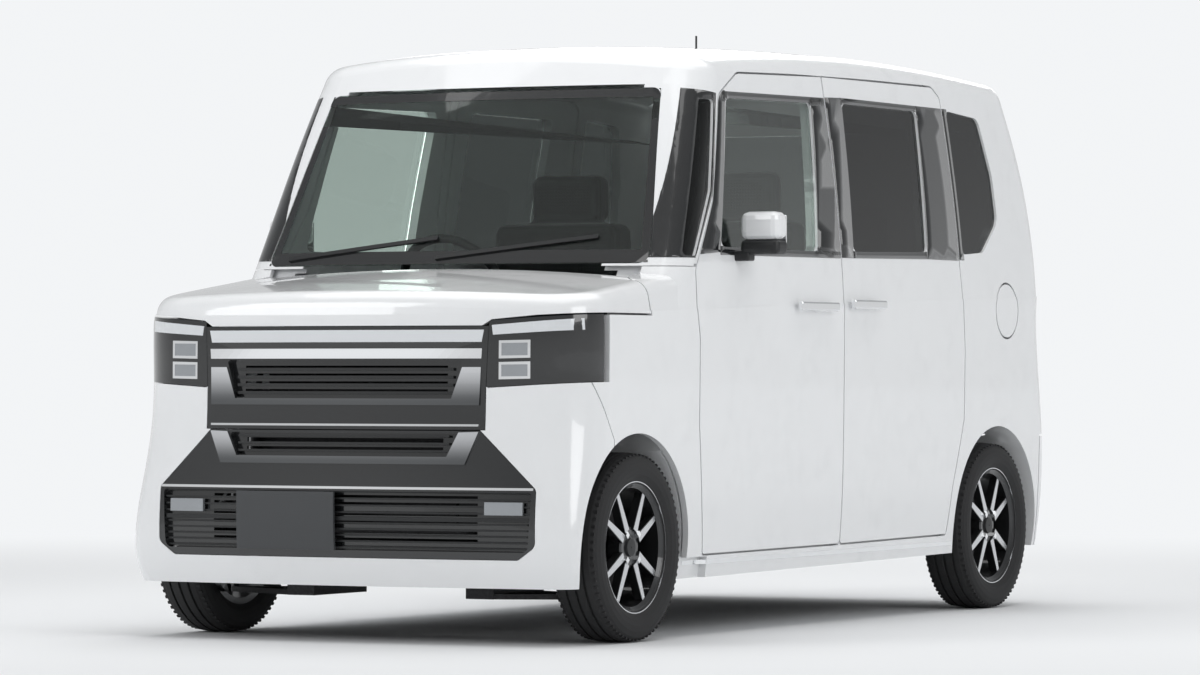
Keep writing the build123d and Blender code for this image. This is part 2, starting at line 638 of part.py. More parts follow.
def build():
    """Make every sub-part by name."""
    door = side_door(FRONT_DOOR, FRONT_WINDOW)
    slider = side_door(SLIDING_DOOR, SLIDING_WINDOW)
    door_pull, slide_pull = handle(1095, 946, 150), handle(1372, 956, 150)
    frame = side_frame()
    fender, lamp = front_fender(), headlamp()
    glass = window_glass(FRONT_WINDOW)
    slide_glass = window_glass(SLIDING_WINDOW)
    mirror_shell = door_mirror()
    carrier = knuckle()
    pairs = {
        "front_door": door + door_pull, "sliding_door": slider + slide_pull, "side_frame": frame,
        "front_fender": fender, "headlamp": lamp, "front_door_glass": glass, "door_mirror": mirror_shell,
        "knuckle": carrier,
    }
    nodes = {}
    for name, shape in pairs.items():
        nodes[f"{name}_left"] = shape
        nodes[f"{name}_right"] = flip(shape)
    nodes["fuel_flap"] = fuel_flap()
    nodes["roof_panel"] = roof_panel()
    nodes["windscreen"] = windscreen()
    nodes["fixed_side_glass"] = Compound(children=fixed_side_glass())
    nodes["sliding_door_glass"] = Compound(children=[slide_glass, flip(slide_glass)])
    nodes["tailgate"] = tailgate()
    nodes["tailgate_glass"] = tailgate_glass()
    nodes["tail_lamps"] = Compound(children=tail_lamps())
    nodes["bonnet"] = bonnet()
    nodes["front_bumper"] = front_bumper()
    nodes["rear_bumper"] = rear_bumper()
    nodes["upper_grille"] = upper_grille()
    nodes["lower_grille"] = lower_grille()
    nodes["floor_pan"] = floor_pan()
    nodes["cowl_bulkhead"] = cowl_bulkhead()
    nodes["dashboard"] = dashboard()
    nodes["steering_wheel"] = steering_wheel()
    fronts = [seat(x, 1010, 480, 1230, 1385) for x in (-300, 300)]
    rears = [seat(x, 1930, 470, 1150, 1300) for x in (-245, 245)]
    nodes["front_seats"] = Compound(children=fronts)
    nodes["rear_seats"] = Compound(children=rears)
    nodes["engine_block"] = fillet(box((-300, 300), (-230, 110), (300, 740)).edges(), 25)
    nodes["fuel_tank"] = fillet(box((-300, 300), (1250, 1800), (175, FLOOR_Z - 40)).edges(), 20)
    nodes["front_subframe"] = front_subframe()
    nodes["rear_axle"] = rear_axle()
    wheel, rubber = rim(), tyre()
    for end, place in (("front", 0), ("rear", REAR_AXLE_Y)):
        at = Pos(WHEEL_X, place, AXLE_Z)
        nodes[f"rim_{end}_left"] = at * wheel
        nodes[f"rim_{end}_right"] = flip(at * wheel)
        nodes[f"tyre_{end}_left"] = at * rubber
        nodes[f"tyre_{end}_right"] = flip(at * rubber)
    return nodes


def main():
    os.makedirs("parts", exist_ok=True)
    for name, shape in build().items():
        export_step(Pos(0, -ORIGIN_Y, 0) * shape, f"parts/{name}.step")
        print(name, round(shape.volume / 1e3))


if __name__ == "__main__":
    main()
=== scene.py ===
"""Looks of the kei car, dressed round its CAD frame.

Metres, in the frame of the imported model: X points to the car's left, Y to its rear and Z up.
Outlines are in millimetres, measured from the front axle, the middle plane and the ground.
The finished pieces ride on the CAD bodies, so that doors, lids and wheels keep their dress as
they move.
"""
from __future__ import annotations

import json
import logging
import math
from dataclasses import dataclass
from enum import Enum
from typing import ClassVar, Iterable, NamedTuple, Sequence

import bmesh
import bpy
import numpy as np
from mathutils import Matrix, Vector
from mathutils.bvhtree import BVHTree

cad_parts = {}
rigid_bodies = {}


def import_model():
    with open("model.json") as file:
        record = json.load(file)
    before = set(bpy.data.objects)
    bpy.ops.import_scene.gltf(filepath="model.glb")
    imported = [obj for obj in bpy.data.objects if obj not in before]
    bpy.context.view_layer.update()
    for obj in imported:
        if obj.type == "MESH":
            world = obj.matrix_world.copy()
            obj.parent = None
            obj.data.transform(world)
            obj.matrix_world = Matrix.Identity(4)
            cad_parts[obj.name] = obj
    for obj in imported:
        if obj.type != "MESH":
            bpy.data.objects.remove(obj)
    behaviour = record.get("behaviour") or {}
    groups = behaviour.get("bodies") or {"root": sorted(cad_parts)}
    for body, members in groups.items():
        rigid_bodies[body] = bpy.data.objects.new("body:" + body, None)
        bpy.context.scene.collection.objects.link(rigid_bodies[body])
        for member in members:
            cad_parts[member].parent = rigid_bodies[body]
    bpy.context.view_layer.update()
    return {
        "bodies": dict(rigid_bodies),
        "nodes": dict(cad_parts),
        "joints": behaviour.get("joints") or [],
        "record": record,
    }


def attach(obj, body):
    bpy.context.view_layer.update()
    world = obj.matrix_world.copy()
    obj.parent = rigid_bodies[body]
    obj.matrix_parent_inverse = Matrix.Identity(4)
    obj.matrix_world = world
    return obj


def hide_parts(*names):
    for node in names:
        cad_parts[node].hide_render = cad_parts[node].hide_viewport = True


LOG = logging.getLogger("kei_car")
MM = 0.001
# The front axle lies this far ahead of the frame's origin
FRONT_AXLE_Y = -1.2575
SIDES = {"left": 1, "right": -1}
CAR_BODY = "car_body"
# Families of nodes on both sides; a front door's body is named as its node
DOOR = "front_door"
SLIDER = "sliding_door"
SIDE_FRAME = "side_frame"
# Corners nearer than this are one corner of a CAD mesh
WELD = 0.00001
# A wave texture of scale 1 has this many radians in a metre
WAVE_RADIANS = 20.0
Point = tuple[float, float]
Outline = tuple[Point, ...]
Colour = tuple[float, float, float]
Point3 = tuple[float, float, float]


def at_axle(y_mm: float) -> float:
    """Place along the car in metres, from millimetres behind the front axle."""
    return y_mm * MM + FRONT_AXLE_Y


class Plane2D(Enum):
    """Flat view that an outline is drawn in."""

    FRONT = "front"
    SIDE = "side"


class Nodes:
    """Short ways to add and link shader nodes."""

    def __init__(self, material: bpy.types.Material | bpy.types.World) -> None:
        """Start from an empty tree.

        Args:
            material: The material or world whose tree is filled.
        """
        material.use_nodes = True
        self.tree = material.node_tree
        self.tree.nodes.clear()

    def add(self, kind: str, **inputs: object) -> bpy.types.Node:
        """Add a node and set its sockets by name.

        Args:
            kind: Blender's name of the node's class.
            **inputs: Socket values, with spaces in names written as underscores.

        Returns:
            The new node.
        """
        node = self.tree.nodes.new(kind)
        for name, value in inputs.items():
            node.inputs[name.replace("_", " ")].default_value = value
        return node

    def link(self, source: bpy.types.NodeSocket, target: bpy.types.NodeSocket) -> None:
        """Link an output to an input."""
        self.tree.links.new(source, target)

    def ramp(self, factor: bpy.types.NodeSocket,
             stops: Sequence[tuple[float, Colour]]) -> bpy.types.NodeSocket:
        """Colour ramp over a factor.

        Args:
            factor: The socket that drives it.
            stops: Positions and colours.

        Returns:
            The colour output.
        """
        node = self.add("ShaderNodeValToRGB")
        elements = node.color_ramp.elements
        while len(elements) < len(stops):
            elements.new(0.5)
        for element, (position, colour) in zip(elements, stops):
            element.position = position
            element.color = (*colour, 1.0)
        self.link(factor, node.inputs["Fac"])
        return node.outputs["Color"]


@dataclass(frozen=True)
class Finish:
    """Finish of one kind of surface, with grain in its colour, gloss and relief.

    Attributes:
        name: Name of the material.
        colour: Main colour.
        roughness: Mean roughness.
        metallic: Metal share.
        coat: Clear coat weight.
        coat_roughness: Roughness of the clear coat.
        grain: Fineness of the grain, in waves for each metre.
        shade: How far the colour wanders about its mean.
        gloss_shade: How far the roughness wanders.
        relief: Height of the grain in metres.
        transmission: Share of light let through.
        ior: Index of refraction.
        glow: Strength of its own light.
        sheen: Weight of the cloth sheen.
        fade: Dark colour of a painted reflection, which it turns to from one level to another.
        painted_reflection_levels: Levels of that painted reflection's change, from the dark second colour to
            the first.
    """

    name: str
    colour: Colour
    roughness: float = 0.5
    metallic: float = 0.0
    coat: float = 0.0
    coat_roughness: float = 0.03
    grain: float = 900.0
    shade: float = 0.05
    gloss_shade: float = 0.06
    relief: float = 0.00002
    transmission: float = 0.0
    ior: float = 1.45
    glow: float = 0.0
    sheen: float = 0.0
    fade: Colour | None = None
    painted_reflection_levels: Point = (0.0, 1.0)
    # Part of the grain's height over which the colour turns from its dark to its light shade
    span: ClassVar[Point] = (0.3, 0.7)

    def material(self) -> bpy.types.Material:
        """The material, made the first time that it is asked for.

        Returns:
            The Blender material.
        """
        known = bpy.data.materials.get(self.name)
        if known:
            return known
        material = bpy.data.materials.new(self.name)
        nodes = Nodes(material)
        shader = nodes.add("ShaderNodeBsdfPrincipled", Metallic=self.metallic, Coat_Weight=self.coat,
                           Coat_Roughness=self.coat_roughness, Transmission_Weight=self.transmission,
                           IOR=self.ior, Sheen_Weight=self.sheen)
        coordinates = nodes.add("ShaderNodeTexCoord").outputs["Object"]
        noise = self.pattern(nodes, coordinates)
        low, high = (tuple(min(1.0, c * (1 + side * self.shade)) for c in self.colour) for side in (-1, 1))
        colour = nodes.ramp(noise, [(self.span[0], low), (self.span[1], high)])
        # Painted reflection: the colour turns to the dark second colour below its levels and stays bright
        # above
        if self.fade:
            colour = self.add_painted_reflection(nodes, coordinates, colour)
        nodes.link(colour, shader.inputs["Base Color"])
        gloss = nodes.add("ShaderNodeMapRange", To_Min=max(0.0, self.roughness - self.gloss_shade),
                          To_Max=min(1.0, self.roughness + self.gloss_shade))
        nodes.link(noise, gloss.inputs["Value"])
        nodes.link(gloss.outputs["Result"], shader.inputs["Roughness"])
        if self.glow:
            shader.inputs["Emission Strength"].default_value = self.glow
            shader.inputs["Emission Color"].default_value = (*self.colour, 1.0)
        if self.relief:
            bump = nodes.add("ShaderNodeBump", Distance=self.relief)
            nodes.link(noise, bump.inputs["Height"])
            nodes.link(bump.outputs["Normal"], shader.inputs["Normal"])
        output = nodes.add("ShaderNodeOutputMaterial")
        nodes.link(shader.outputs["BSDF"], output.inputs["Surface"])
        return material

    def pattern(self, nodes: Nodes, coordinates: bpy.types.NodeSocket) -> bpy.types.NodeSocket:
        """Grain that drives colour, gloss and relief.

        Args:
            nodes: The tree that is filled.
            coordinates: Object coordinates.

        Returns:
            Height of the grain, from 0 to 1.
        """
        noise = nodes.add("ShaderNodeTexNoise", Scale=self.grain, Detail=3.0)
        nodes.link(coordinates, noise.inputs["Vector"])
        return noise.outputs["Fac"]

    def add_painted_reflection(self, nodes: Nodes, coordinates: bpy.types.NodeSocket,
              colour: bpy.types.NodeSocket) -> bpy.types.NodeSocket:
        """Blend the dark second colour of a painted reflection in over a range of levels.

        Args:
            nodes: The tree that is filled.
            coordinates: Object coordinates.
            colour: The first colour.

        Returns:
            The blended colour.
        """
        split = nodes.add("ShaderNodeSeparateXYZ")
        nodes.link(coordinates, split.inputs["Vector"])
        level = nodes.add("ShaderNodeMapRange", From_Min=self.painted_reflection_levels[0], From_Max=self.painted_reflection_levels[1])
        level.interpolation_type = "SMOOTHSTEP"
        nodes.link(split.outputs["Z"], level.inputs["Value"])
        mix = nodes.add("ShaderNodeMix")
        mix.data_type = "RGBA"
        mix.inputs["A"].default_value = (*self.fade, 1.0)
        nodes.link(level.outputs["Result"], mix.inputs["Factor"])
        nodes.link(colour, mix.inputs["B"])
        return mix.outputs["Result"]


@dataclass(frozen=True)
class WovenFinish(Finish):
    """Cloth with crossing threads.

    Attributes:
        thread: Width of a thread for each radian of its wave, in metres.
    """

    thread: float = 0.0016

    def pattern(self, nodes: Nodes, coordinates: bpy.types.NodeSocket) -> bpy.types.NodeSocket:
        """Crossing waves, one for each direction of the threads.

        Args:
            nodes: The tree that is filled.
            coordinates: Object coordinates.

        Returns:
            Height of the threads, from 0 to 1.
        """
        scale = 1 / (self.thread * WAVE_RADIANS)
        heights = {}
        for direction in ("X", "Y", "Z"):
            wave = nodes.add("ShaderNodeTexWave", Scale=scale, Distortion=1.2, Detail=1.0)
            wave.bands_direction = direction
            nodes.link(coordinates, wave.inputs["Vector"])
            heights[direction] = wave.outputs["Fac"]
        level = self.joined(nodes, "MULTIPLY", heights["X"], heights["Z"])
        return self.joined(nodes, "MAXIMUM", level, heights["Y"])

    @staticmethod
    def joined(nodes: Nodes, operation: str, first: bpy.types.NodeSocket,
               second: bpy.types.NodeSocket) -> bpy.types.NodeSocket:
        """Two heights joined into one.

        Args:
            nodes: The tree that is filled.
            operation: Blender's name of the operation that joins them.
            first: The first height.
            second: The second height.

        Returns:
            The joined height.
        """
        node = nodes.add("ShaderNodeMath")
        node.operation = operation
        nodes.link(first, node.inputs[0])
        nodes.link(second, node.inputs[1])
        return node.outputs["Value"]


@dataclass(frozen=True)
class PearlPaint(Finish):
    """Body paint with fine flakes under a clear coat.

    Attributes:
        flake: Flakes along a metre.
        cloud: Fineness of the slow change of shade, in waves for each metre.
        flake_share: Share of the flakes in the shade.
    """

    flake: float = 2600.0
    cloud: float = 6.0
    flake_share: float = 0.35

    def pattern(self, nodes: Nodes, coordinates: bpy.types.NodeSocket) -> bpy.types.NodeSocket:
        """Flakes of different brightness.

        Args:
            nodes: The tree that is filled.
            coordinates: Object coordinates.

        Returns:
            Brightness of the flakes, from 0 to 1.
        """
        cells = nodes.add("ShaderNodeTexVoronoi", Scale=self.flake)
        nodes.link(coordinates, cells.inputs["Vector"])
        noise = nodes.add("ShaderNodeTexNoise", Scale=self.cloud, Detail=2.0)
        nodes.link(coordinates, noise.inputs["Vector"])
        mix = nodes.add("ShaderNodeMix", Factor=self.flake_share)
        nodes.link(noise.outputs["Fac"], mix.inputs["A"])
        nodes.link(cells.outputs["Distance"], mix.inputs["B"])
        return mix.outputs["Result"]


# Finishes of the body
PAINT = PearlPaint("pearl_paint", (0.83, 0.84, 0.85), 0.28, coat=1.0, shade=0.012, gloss_shade=0.03,
                   relief=0.0)
GLOSS_BLACK = Finish("gloss_black", (0.012, 0.013, 0.014), 0.14, coat=1.0, grain=160.0, relief=0.0)
SATIN_BLACK = Finish("satin_black_plastic", (0.016, 0.017, 0.018), 0.42, grain=1800.0, relief=0.00003)
DARK_METAL = Finish("underbody_steel", (0.05, 0.05, 0.052), 0.55, 0.6, grain=120.0, relief=0.0002, shade=0.25)
CHROME = Finish("bright_chrome", (0.86, 0.87, 0.88), 0.07, 1.0, gloss_shade=0.02, shade=0.01, relief=0.0)
CLEAR_GLASS = Finish("clear_green_glass", (0.72, 0.80, 0.76), 0.0, transmission=1.0, gloss_shade=0.0,
                     shade=0.01, relief=0.0)
PRIVACY_GLASS = Finish("privacy_glass", (0.05, 0.055, 0.055), 0.0, transmission=1.0, gloss_shade=0.0,
                       shade=0.02, relief=0.0)
# Finishes of the wheels
RUBBER = Finish("tyre_rubber", (0.021, 0.021, 0.022), 0.72, grain=420.0, relief=0.00008, shade=0.2)
ALLOY = Finish("dark_alloy", (0.035, 0.036, 0.038), 0.3, 0.7, coat=0.8, relief=0.0)
MACHINED = Finish("machined_alloy", (0.62, 0.63, 0.65), 0.22, 1.0, coat=0.7, grain=500.0, shade=0.04,
                  relief=0.0)
# Finishes of the cabin
SEAT_CLOTH = WovenFinish("seat_cloth", (0.030, 0.031, 0.033), 0.85, sheen=0.3, shade=0.3, relief=0.0004)
CARPET = Finish("floor_carpet", (0.020, 0.020, 0.021), 0.95, grain=1500.0, relief=0.0008, shade=0.4,
                sheen=0.3)
DASH_PLASTIC = Finish("dashboard_plastic", (0.034, 0.035, 0.037), 0.6, grain=1100.0, relief=0.0001,
                      shade=0.12)
# Finishes of the lamps and of the front's bands; the bands carry a painted reflection, dark below and bright
# above
RED_LENS = Finish("red_lens", (0.32, 0.008, 0.012), 0.08, coat=1.0, relief=0.0, grain=300.0)
LIGHT_BAR = Finish("lamp_guide", (0.62, 0.64, 0.66), 0.12, coat=1.0, shade=0.03, relief=0.0, glow=0.12)
LAMP_LENS = Finish("lamp_lens", (0.34, 0.36, 0.38), 0.05, 0.5, coat=1.0, shade=0.05, relief=0.0)
UPPER_BAND_PAINTED_REFLECTION = Finish("upper_band", (0.80, 0.81, 0.83), 0.10, 1.0, shade=0.01, gloss_shade=0.02, relief=0.0,
              fade=(0.16, 0.165, 0.17), painted_reflection_levels=(0.675, 0.775))
LOWER_BAND_PAINTED_REFLECTION = Finish("lower_band", (0.80, 0.81, 0.83), 0.10, 1.0, shade=0.01, gloss_shade=0.02, relief=0.0,
                  fade=(0.16, 0.165, 0.17), painted_reflection_levels=(0.510, 0.596))
PLATE = Finish("blank_plate", (0.055, 0.058, 0.062), 0.4, grain=600.0, relief=0.0)


class SoftLamp(NamedTuple):
    """Square area lamp that shines at the middle of the car.

    Attributes:
        name: Name of the lamp.
        place: Where it hangs, in metres.
        size: Length of its side, in metres.
        power: Power in watts.
    """

    name: str
    place: Point3
    size: float
    power: float


@dataclass
class Studio:
    """Floor, lights, world and the camera at the photograph's viewing angle."""

    camera_place: Point3 = (7.5434, -14.4523, 0.7519)
    yaw: float = 27.752
    pitch: float = -0.417
    roll: float = 0.040
    lens: float = 157.99
    sensor: float = 36.0
    far_clip: float = 500.0
    backdrop: Colour = (0.895, 0.910, 0.925)
    floor_colour: Colour = (0.80, 0.81, 0.82)
    floor_half: float = 60.0
    # Distances from the middle at which the floor starts and ends turning into the backdrop
    floor_fade: Point = (3.0, 9.0)
    # Light of the sky. Columns: height, colour
    sky: tuple[tuple[float, Colour], ...] = (
        (0.0, (0.95, 0.96, 0.97)),
        (0.16, (0.62, 0.63, 0.64)),
        (0.55, (0.42, 0.43, 0.44)),
        (1.0, (0.9, 0.9, 0.9)),
    )
    sky_strength: float = 0.75
    lit_point: Point3 = (0.0, 0.0, 0.6)
    lamps: tuple[SoftLamp, ...] = (
        SoftLamp("overhead", (0.0, 0.0, 6.0), 7.0, 230.0),
        SoftLamp("camera_left", (-5.0, -8.0, 4.5), 4.0, 200.0),
        SoftLamp("camera_right", (9.0, -3.0, 4.0), 4.0, 170.0),
        SoftLamp("behind", (-3.0, 8.0, 5.0), 5.0, 150.0),
    )

    def build(self) -> None:
        """Make everything that isn't part of the car."""
        self.add_camera()
        self.add_world()
        self.add_floor()
        self.add_lights()

    def add_camera(self) -> None:
        """Put the camera where the photograph was taken."""
        yaw, pitch, roll = (math.radians(a) for a in (self.yaw, self.pitch, self.roll))
        ahead = Vector((-math.sin(yaw) * math.cos(pitch), math.cos(yaw) * math.cos(pitch), -math.sin(pitch)))
        right = ahead.cross(Vector((0, 0, 1))).normalized()
        up = right.cross(ahead)
        turned = right * math.cos(roll) + up * math.sin(roll)
        up = up * math.cos(roll) - right * math.sin(roll)
        data = bpy.data.cameras.new("photo_camera")
        data.lens = self.lens
        data.sensor_width = self.sensor
        data.clip_end = self.far_clip
        camera = bpy.data.objects.new("photo_camera", data)
        rows = Matrix((turned, up, -ahead)).transposed().to_4x4()
        camera.matrix_world = Matrix.Translation(self.camera_place) @ rows
        bpy.context.scene.collection.objects.link(camera)
        bpy.context.scene.camera = camera

    def add_world(self) -> None:
        """Pale world: plain for the camera, with a soft change of light over the sky."""
        world = bpy.data.worlds.new("studio_world")
        bpy.context.scene.world = world
        nodes = Nodes(world)
        coordinates = nodes.add("ShaderNodeTexCoord")
        split = nodes.add("ShaderNodeSeparateXYZ")
        nodes.link(coordinates.outputs["Generated"], split.inputs["Vector"])
        light = nodes.add("ShaderNodeBackground", Strength=self.sky_strength)
        nodes.link(nodes.ramp(split.outputs["Z"], self.sky), light.inputs["Color"])
        plain = nodes.add("ShaderNodeBackground", Color=(*self.backdrop, 1.0), Strength=1.0)
        path = nodes.add("ShaderNodeLightPath")
        mix = nodes.add("ShaderNodeMixShader")
        nodes.link(path.outputs["Is Camera Ray"], mix.inputs["Fac"])
        nodes.link(light.outputs["Background"], mix.inputs[1])
        nodes.link(plain.outputs["Background"], mix.inputs[2])
        output = nodes.add("ShaderNodeOutputWorld")
        nodes.link(mix.outputs["Shader"], output.inputs["Surface"])

    def add_floor(self) -> None:
        """Pale floor that takes the shadow and meets the backdrop without an edge."""
        half = self.floor_half
        mesh = bpy.data.meshes.new("studio_floor")
        mesh.from_pydata([(-half, -half, 0), (half, -half, 0), (half, half, 0), (-half, half, 0)], [],
                         [(0, 1, 2, 3)])
        floor = bpy.data.objects.new("studio_floor", mesh)
        bpy.context.scene.collection.objects.link(floor)
        material = bpy.data.materials.new("studio_floor")
        nodes = Nodes(material)
        matt = nodes.add("ShaderNodeBsdfDiffuse", Color=(*self.floor_colour, 1.0))
        glow = nodes.add("ShaderNodeEmission", Color=(*self.backdrop, 1.0), Strength=1.0)
        far = nodes.add("ShaderNodeTexCoord")
        length = nodes.add("ShaderNodeVectorMath")
        length.operation = "LENGTH"
        nodes.link(far.outputs["Object"], length.inputs[0])
        fade = nodes.add("ShaderNodeMapRange", From_Min=self.floor_fade[0], From_Max=self.floor_fade[1])
        fade.interpolation_type = "SMOOTHSTEP"
        nodes.link(length.outputs["Value"], fade.inputs["Value"])
        mix = nodes.add("ShaderNodeMixShader")
        nodes.link(fade.outputs["Result"], mix.inputs["Fac"])
        nodes.link(matt.outputs["BSDF"], mix.inputs[1])
        nodes.link(glow.outputs["Emission"], mix.inputs[2])
        output = nodes.add("ShaderNodeOutputMaterial")
        nodes.link(mix.outputs["Shader"], output.inputs["Surface"])
        mesh.materials.append(material)

    def add_lights(self) -> None:
        """Large soft lamps: one overhead, one at each side of the camera and one behind the car."""
        for name, place, size, power in self.lamps:
            data = bpy.data.lights.new(name, "AREA")
            data.size = size
            data.energy = power
            lamp = bpy.data.objects.new(name, data)
            lamp.location = place
            towards = Vector(self.lit_point) - Vector(place)
            lamp.rotation_euler = towards.to_track_quat("-Z", "Y").to_euler()
            bpy.context.scene.collection.objects.link(lamp)


class BodyShell:
    """Finishes of the CAD pieces that show as they are."""

    # Families of node names by finish: a later row wins, so glass comes after the panel round it
    FINISHES: ClassVar[dict[Finish, tuple[str, ...]]] = {
        PAINT: ("front_door", "sliding_door", "side_frame", "front_fender", "fuel_flap", "roof_panel",
                "tailgate", "bonnet", "front_bumper", "rear_bumper"),
        CLEAR_GLASS: ("windscreen", "front_door_glass"),
        PRIVACY_GLASS: ("fixed_side_glass", "sliding_door_glass", "tailgate_glass"),
        GLOSS_BLACK: ("headlamp", "upper_grille", "lower_grille"),
        SATIN_BLACK: ("cowl_bulkhead", "door_mirror"),
        RED_LENS: ("tail_lamps",),
        DARK_METAL: ("knuckle", "front_subframe", "rear_axle", "engine_block", "fuel_tank"),
        CARPET: ("floor_pan",),
        DASH_PLASTIC: ("dashboard", "steering_wheel"),
        SEAT_CLOTH: ("front_seats", "rear_seats"),
        ALLOY: ("rim",),
        RUBBER: ("tyre",),
    }

    def dress(self, nodes: dict[str, bpy.types.Object]) -> None:
        """Give every CAD node its finish.

        Args:
            nodes: CAD nodes by name.
        """
        for finish, families in self.FINISHES.items():
            for name, node in nodes.items():
                if name.startswith(families):
                    node.data.materials.clear()
                    node.data.materials.append(finish.material())
        LOG.info("dressed %d CAD nodes", len(nodes))


class Surface:
    """Outside of some CAD nodes, which thin pieces are laid on."""

    # Rays start here, in front of the car and beside it
    AHEAD = -3.0
    BESIDE = 2.0

    def __init__(self, nodes: Iterable[bpy.types.Object]) -> None:
        """Gather the triangles of the nodes.

        Args:
            nodes: CAD nodes whose meshes carry the pieces.
        """
        points: list[Vector] = []
        faces: list[list[int]] = []
        for node in nodes:
            start = len(points)
            points += [vertex.co.copy() for vertex in node.data.vertices]
            faces += [[start + index for index in polygon.vertices] for polygon in node.data.polygons]
        self.tree = BVHTree.FromPolygons(points, faces)

    def place(self, view: Plane2D, side: int, across: float, height: float) -> tuple[Vector | None, Vector]:
        """Where a ray of one view meets the surface.

        Args:
            view: Front view or side view.
            side: 1 for the car's left, -1 for its right.
            across: Place across the view in metres.
            height: Level in metres.

        Returns:
            The point, or None where the ray misses, and the ray's direction.
        """
        if view is Plane2D.FRONT:
            start, ray = Vector((across * side, self.AHEAD, height)), Vector((0, 1, 0))
        else:
            start, ray = Vector((self.BESIDE * side, across, height)), Vector((-side, 0, 0))
        return self.tree.ray_cast(start, ray)[0], ray


class Nose:
    """Smooth front of the body, fitted through the CAD's front panels."""

    # Grid of the samples, in metres. Columns: first, end, step
    ACROSS = (-0.60, 0.601, 0.03)
    LEVELS = (0.20, 0.881, 0.02)
    # What lies further back than this is no part of the front
    REAR_LIMIT = -1.2
    # Samples this far behind the fit lie in an opening, and are left out of the next round
    RECESS = 0.003
    ROUNDS = 6

    def __init__(self, surface: Surface) -> None:
        """Fit a low polynomial, leaving out what lies behind an opening.

        Args:
            surface: The front panels.
        """
        rows = []
        for x in np.arange(*self.ACROSS):
            for z in np.arange(*self.LEVELS):
                hit, _ = surface.place(Plane2D.FRONT, 1, float(x), float(z))
                if hit and hit.y < self.REAR_LIMIT:
                    rows.append((x, z, hit.y))
        data = np.array(rows)
        keep = np.ones(len(data), dtype=bool)
        for _ in range(self.ROUNDS):
            terms = self.basis(data[keep, 0], data[keep, 1])
            self.terms, *_ = np.linalg.lstsq(terms, data[keep, 2], rcond=None)
            keep = data[:, 2] - self.basis(data[:, 0], data[:, 1]) @ self.terms < self.RECESS
        LOG.info("nose fitted through %d of %d points", int(keep.sum()), len(data))

    @staticmethod
    def basis(x: np.ndarray, z: np.ndarray) -> np.ndarray:
        """Terms of the polynomial at each point.

        Args:
            x: Places across the car, in metres.
            z: Levels, in metres.

        Returns:
            One row for each point, with one column for each term.
        """
        square = x * x
        return np.stack([np.ones_like(x), z, z**2, z**3, square, square * z, square**2, square**3], axis=1)

    def y(self, x: float, z: float) -> float:
        """Place of the front along the car at one point of the front view."""
        return float((self.basis(np.array([x]), np.array([z])) @ self.terms)[0])


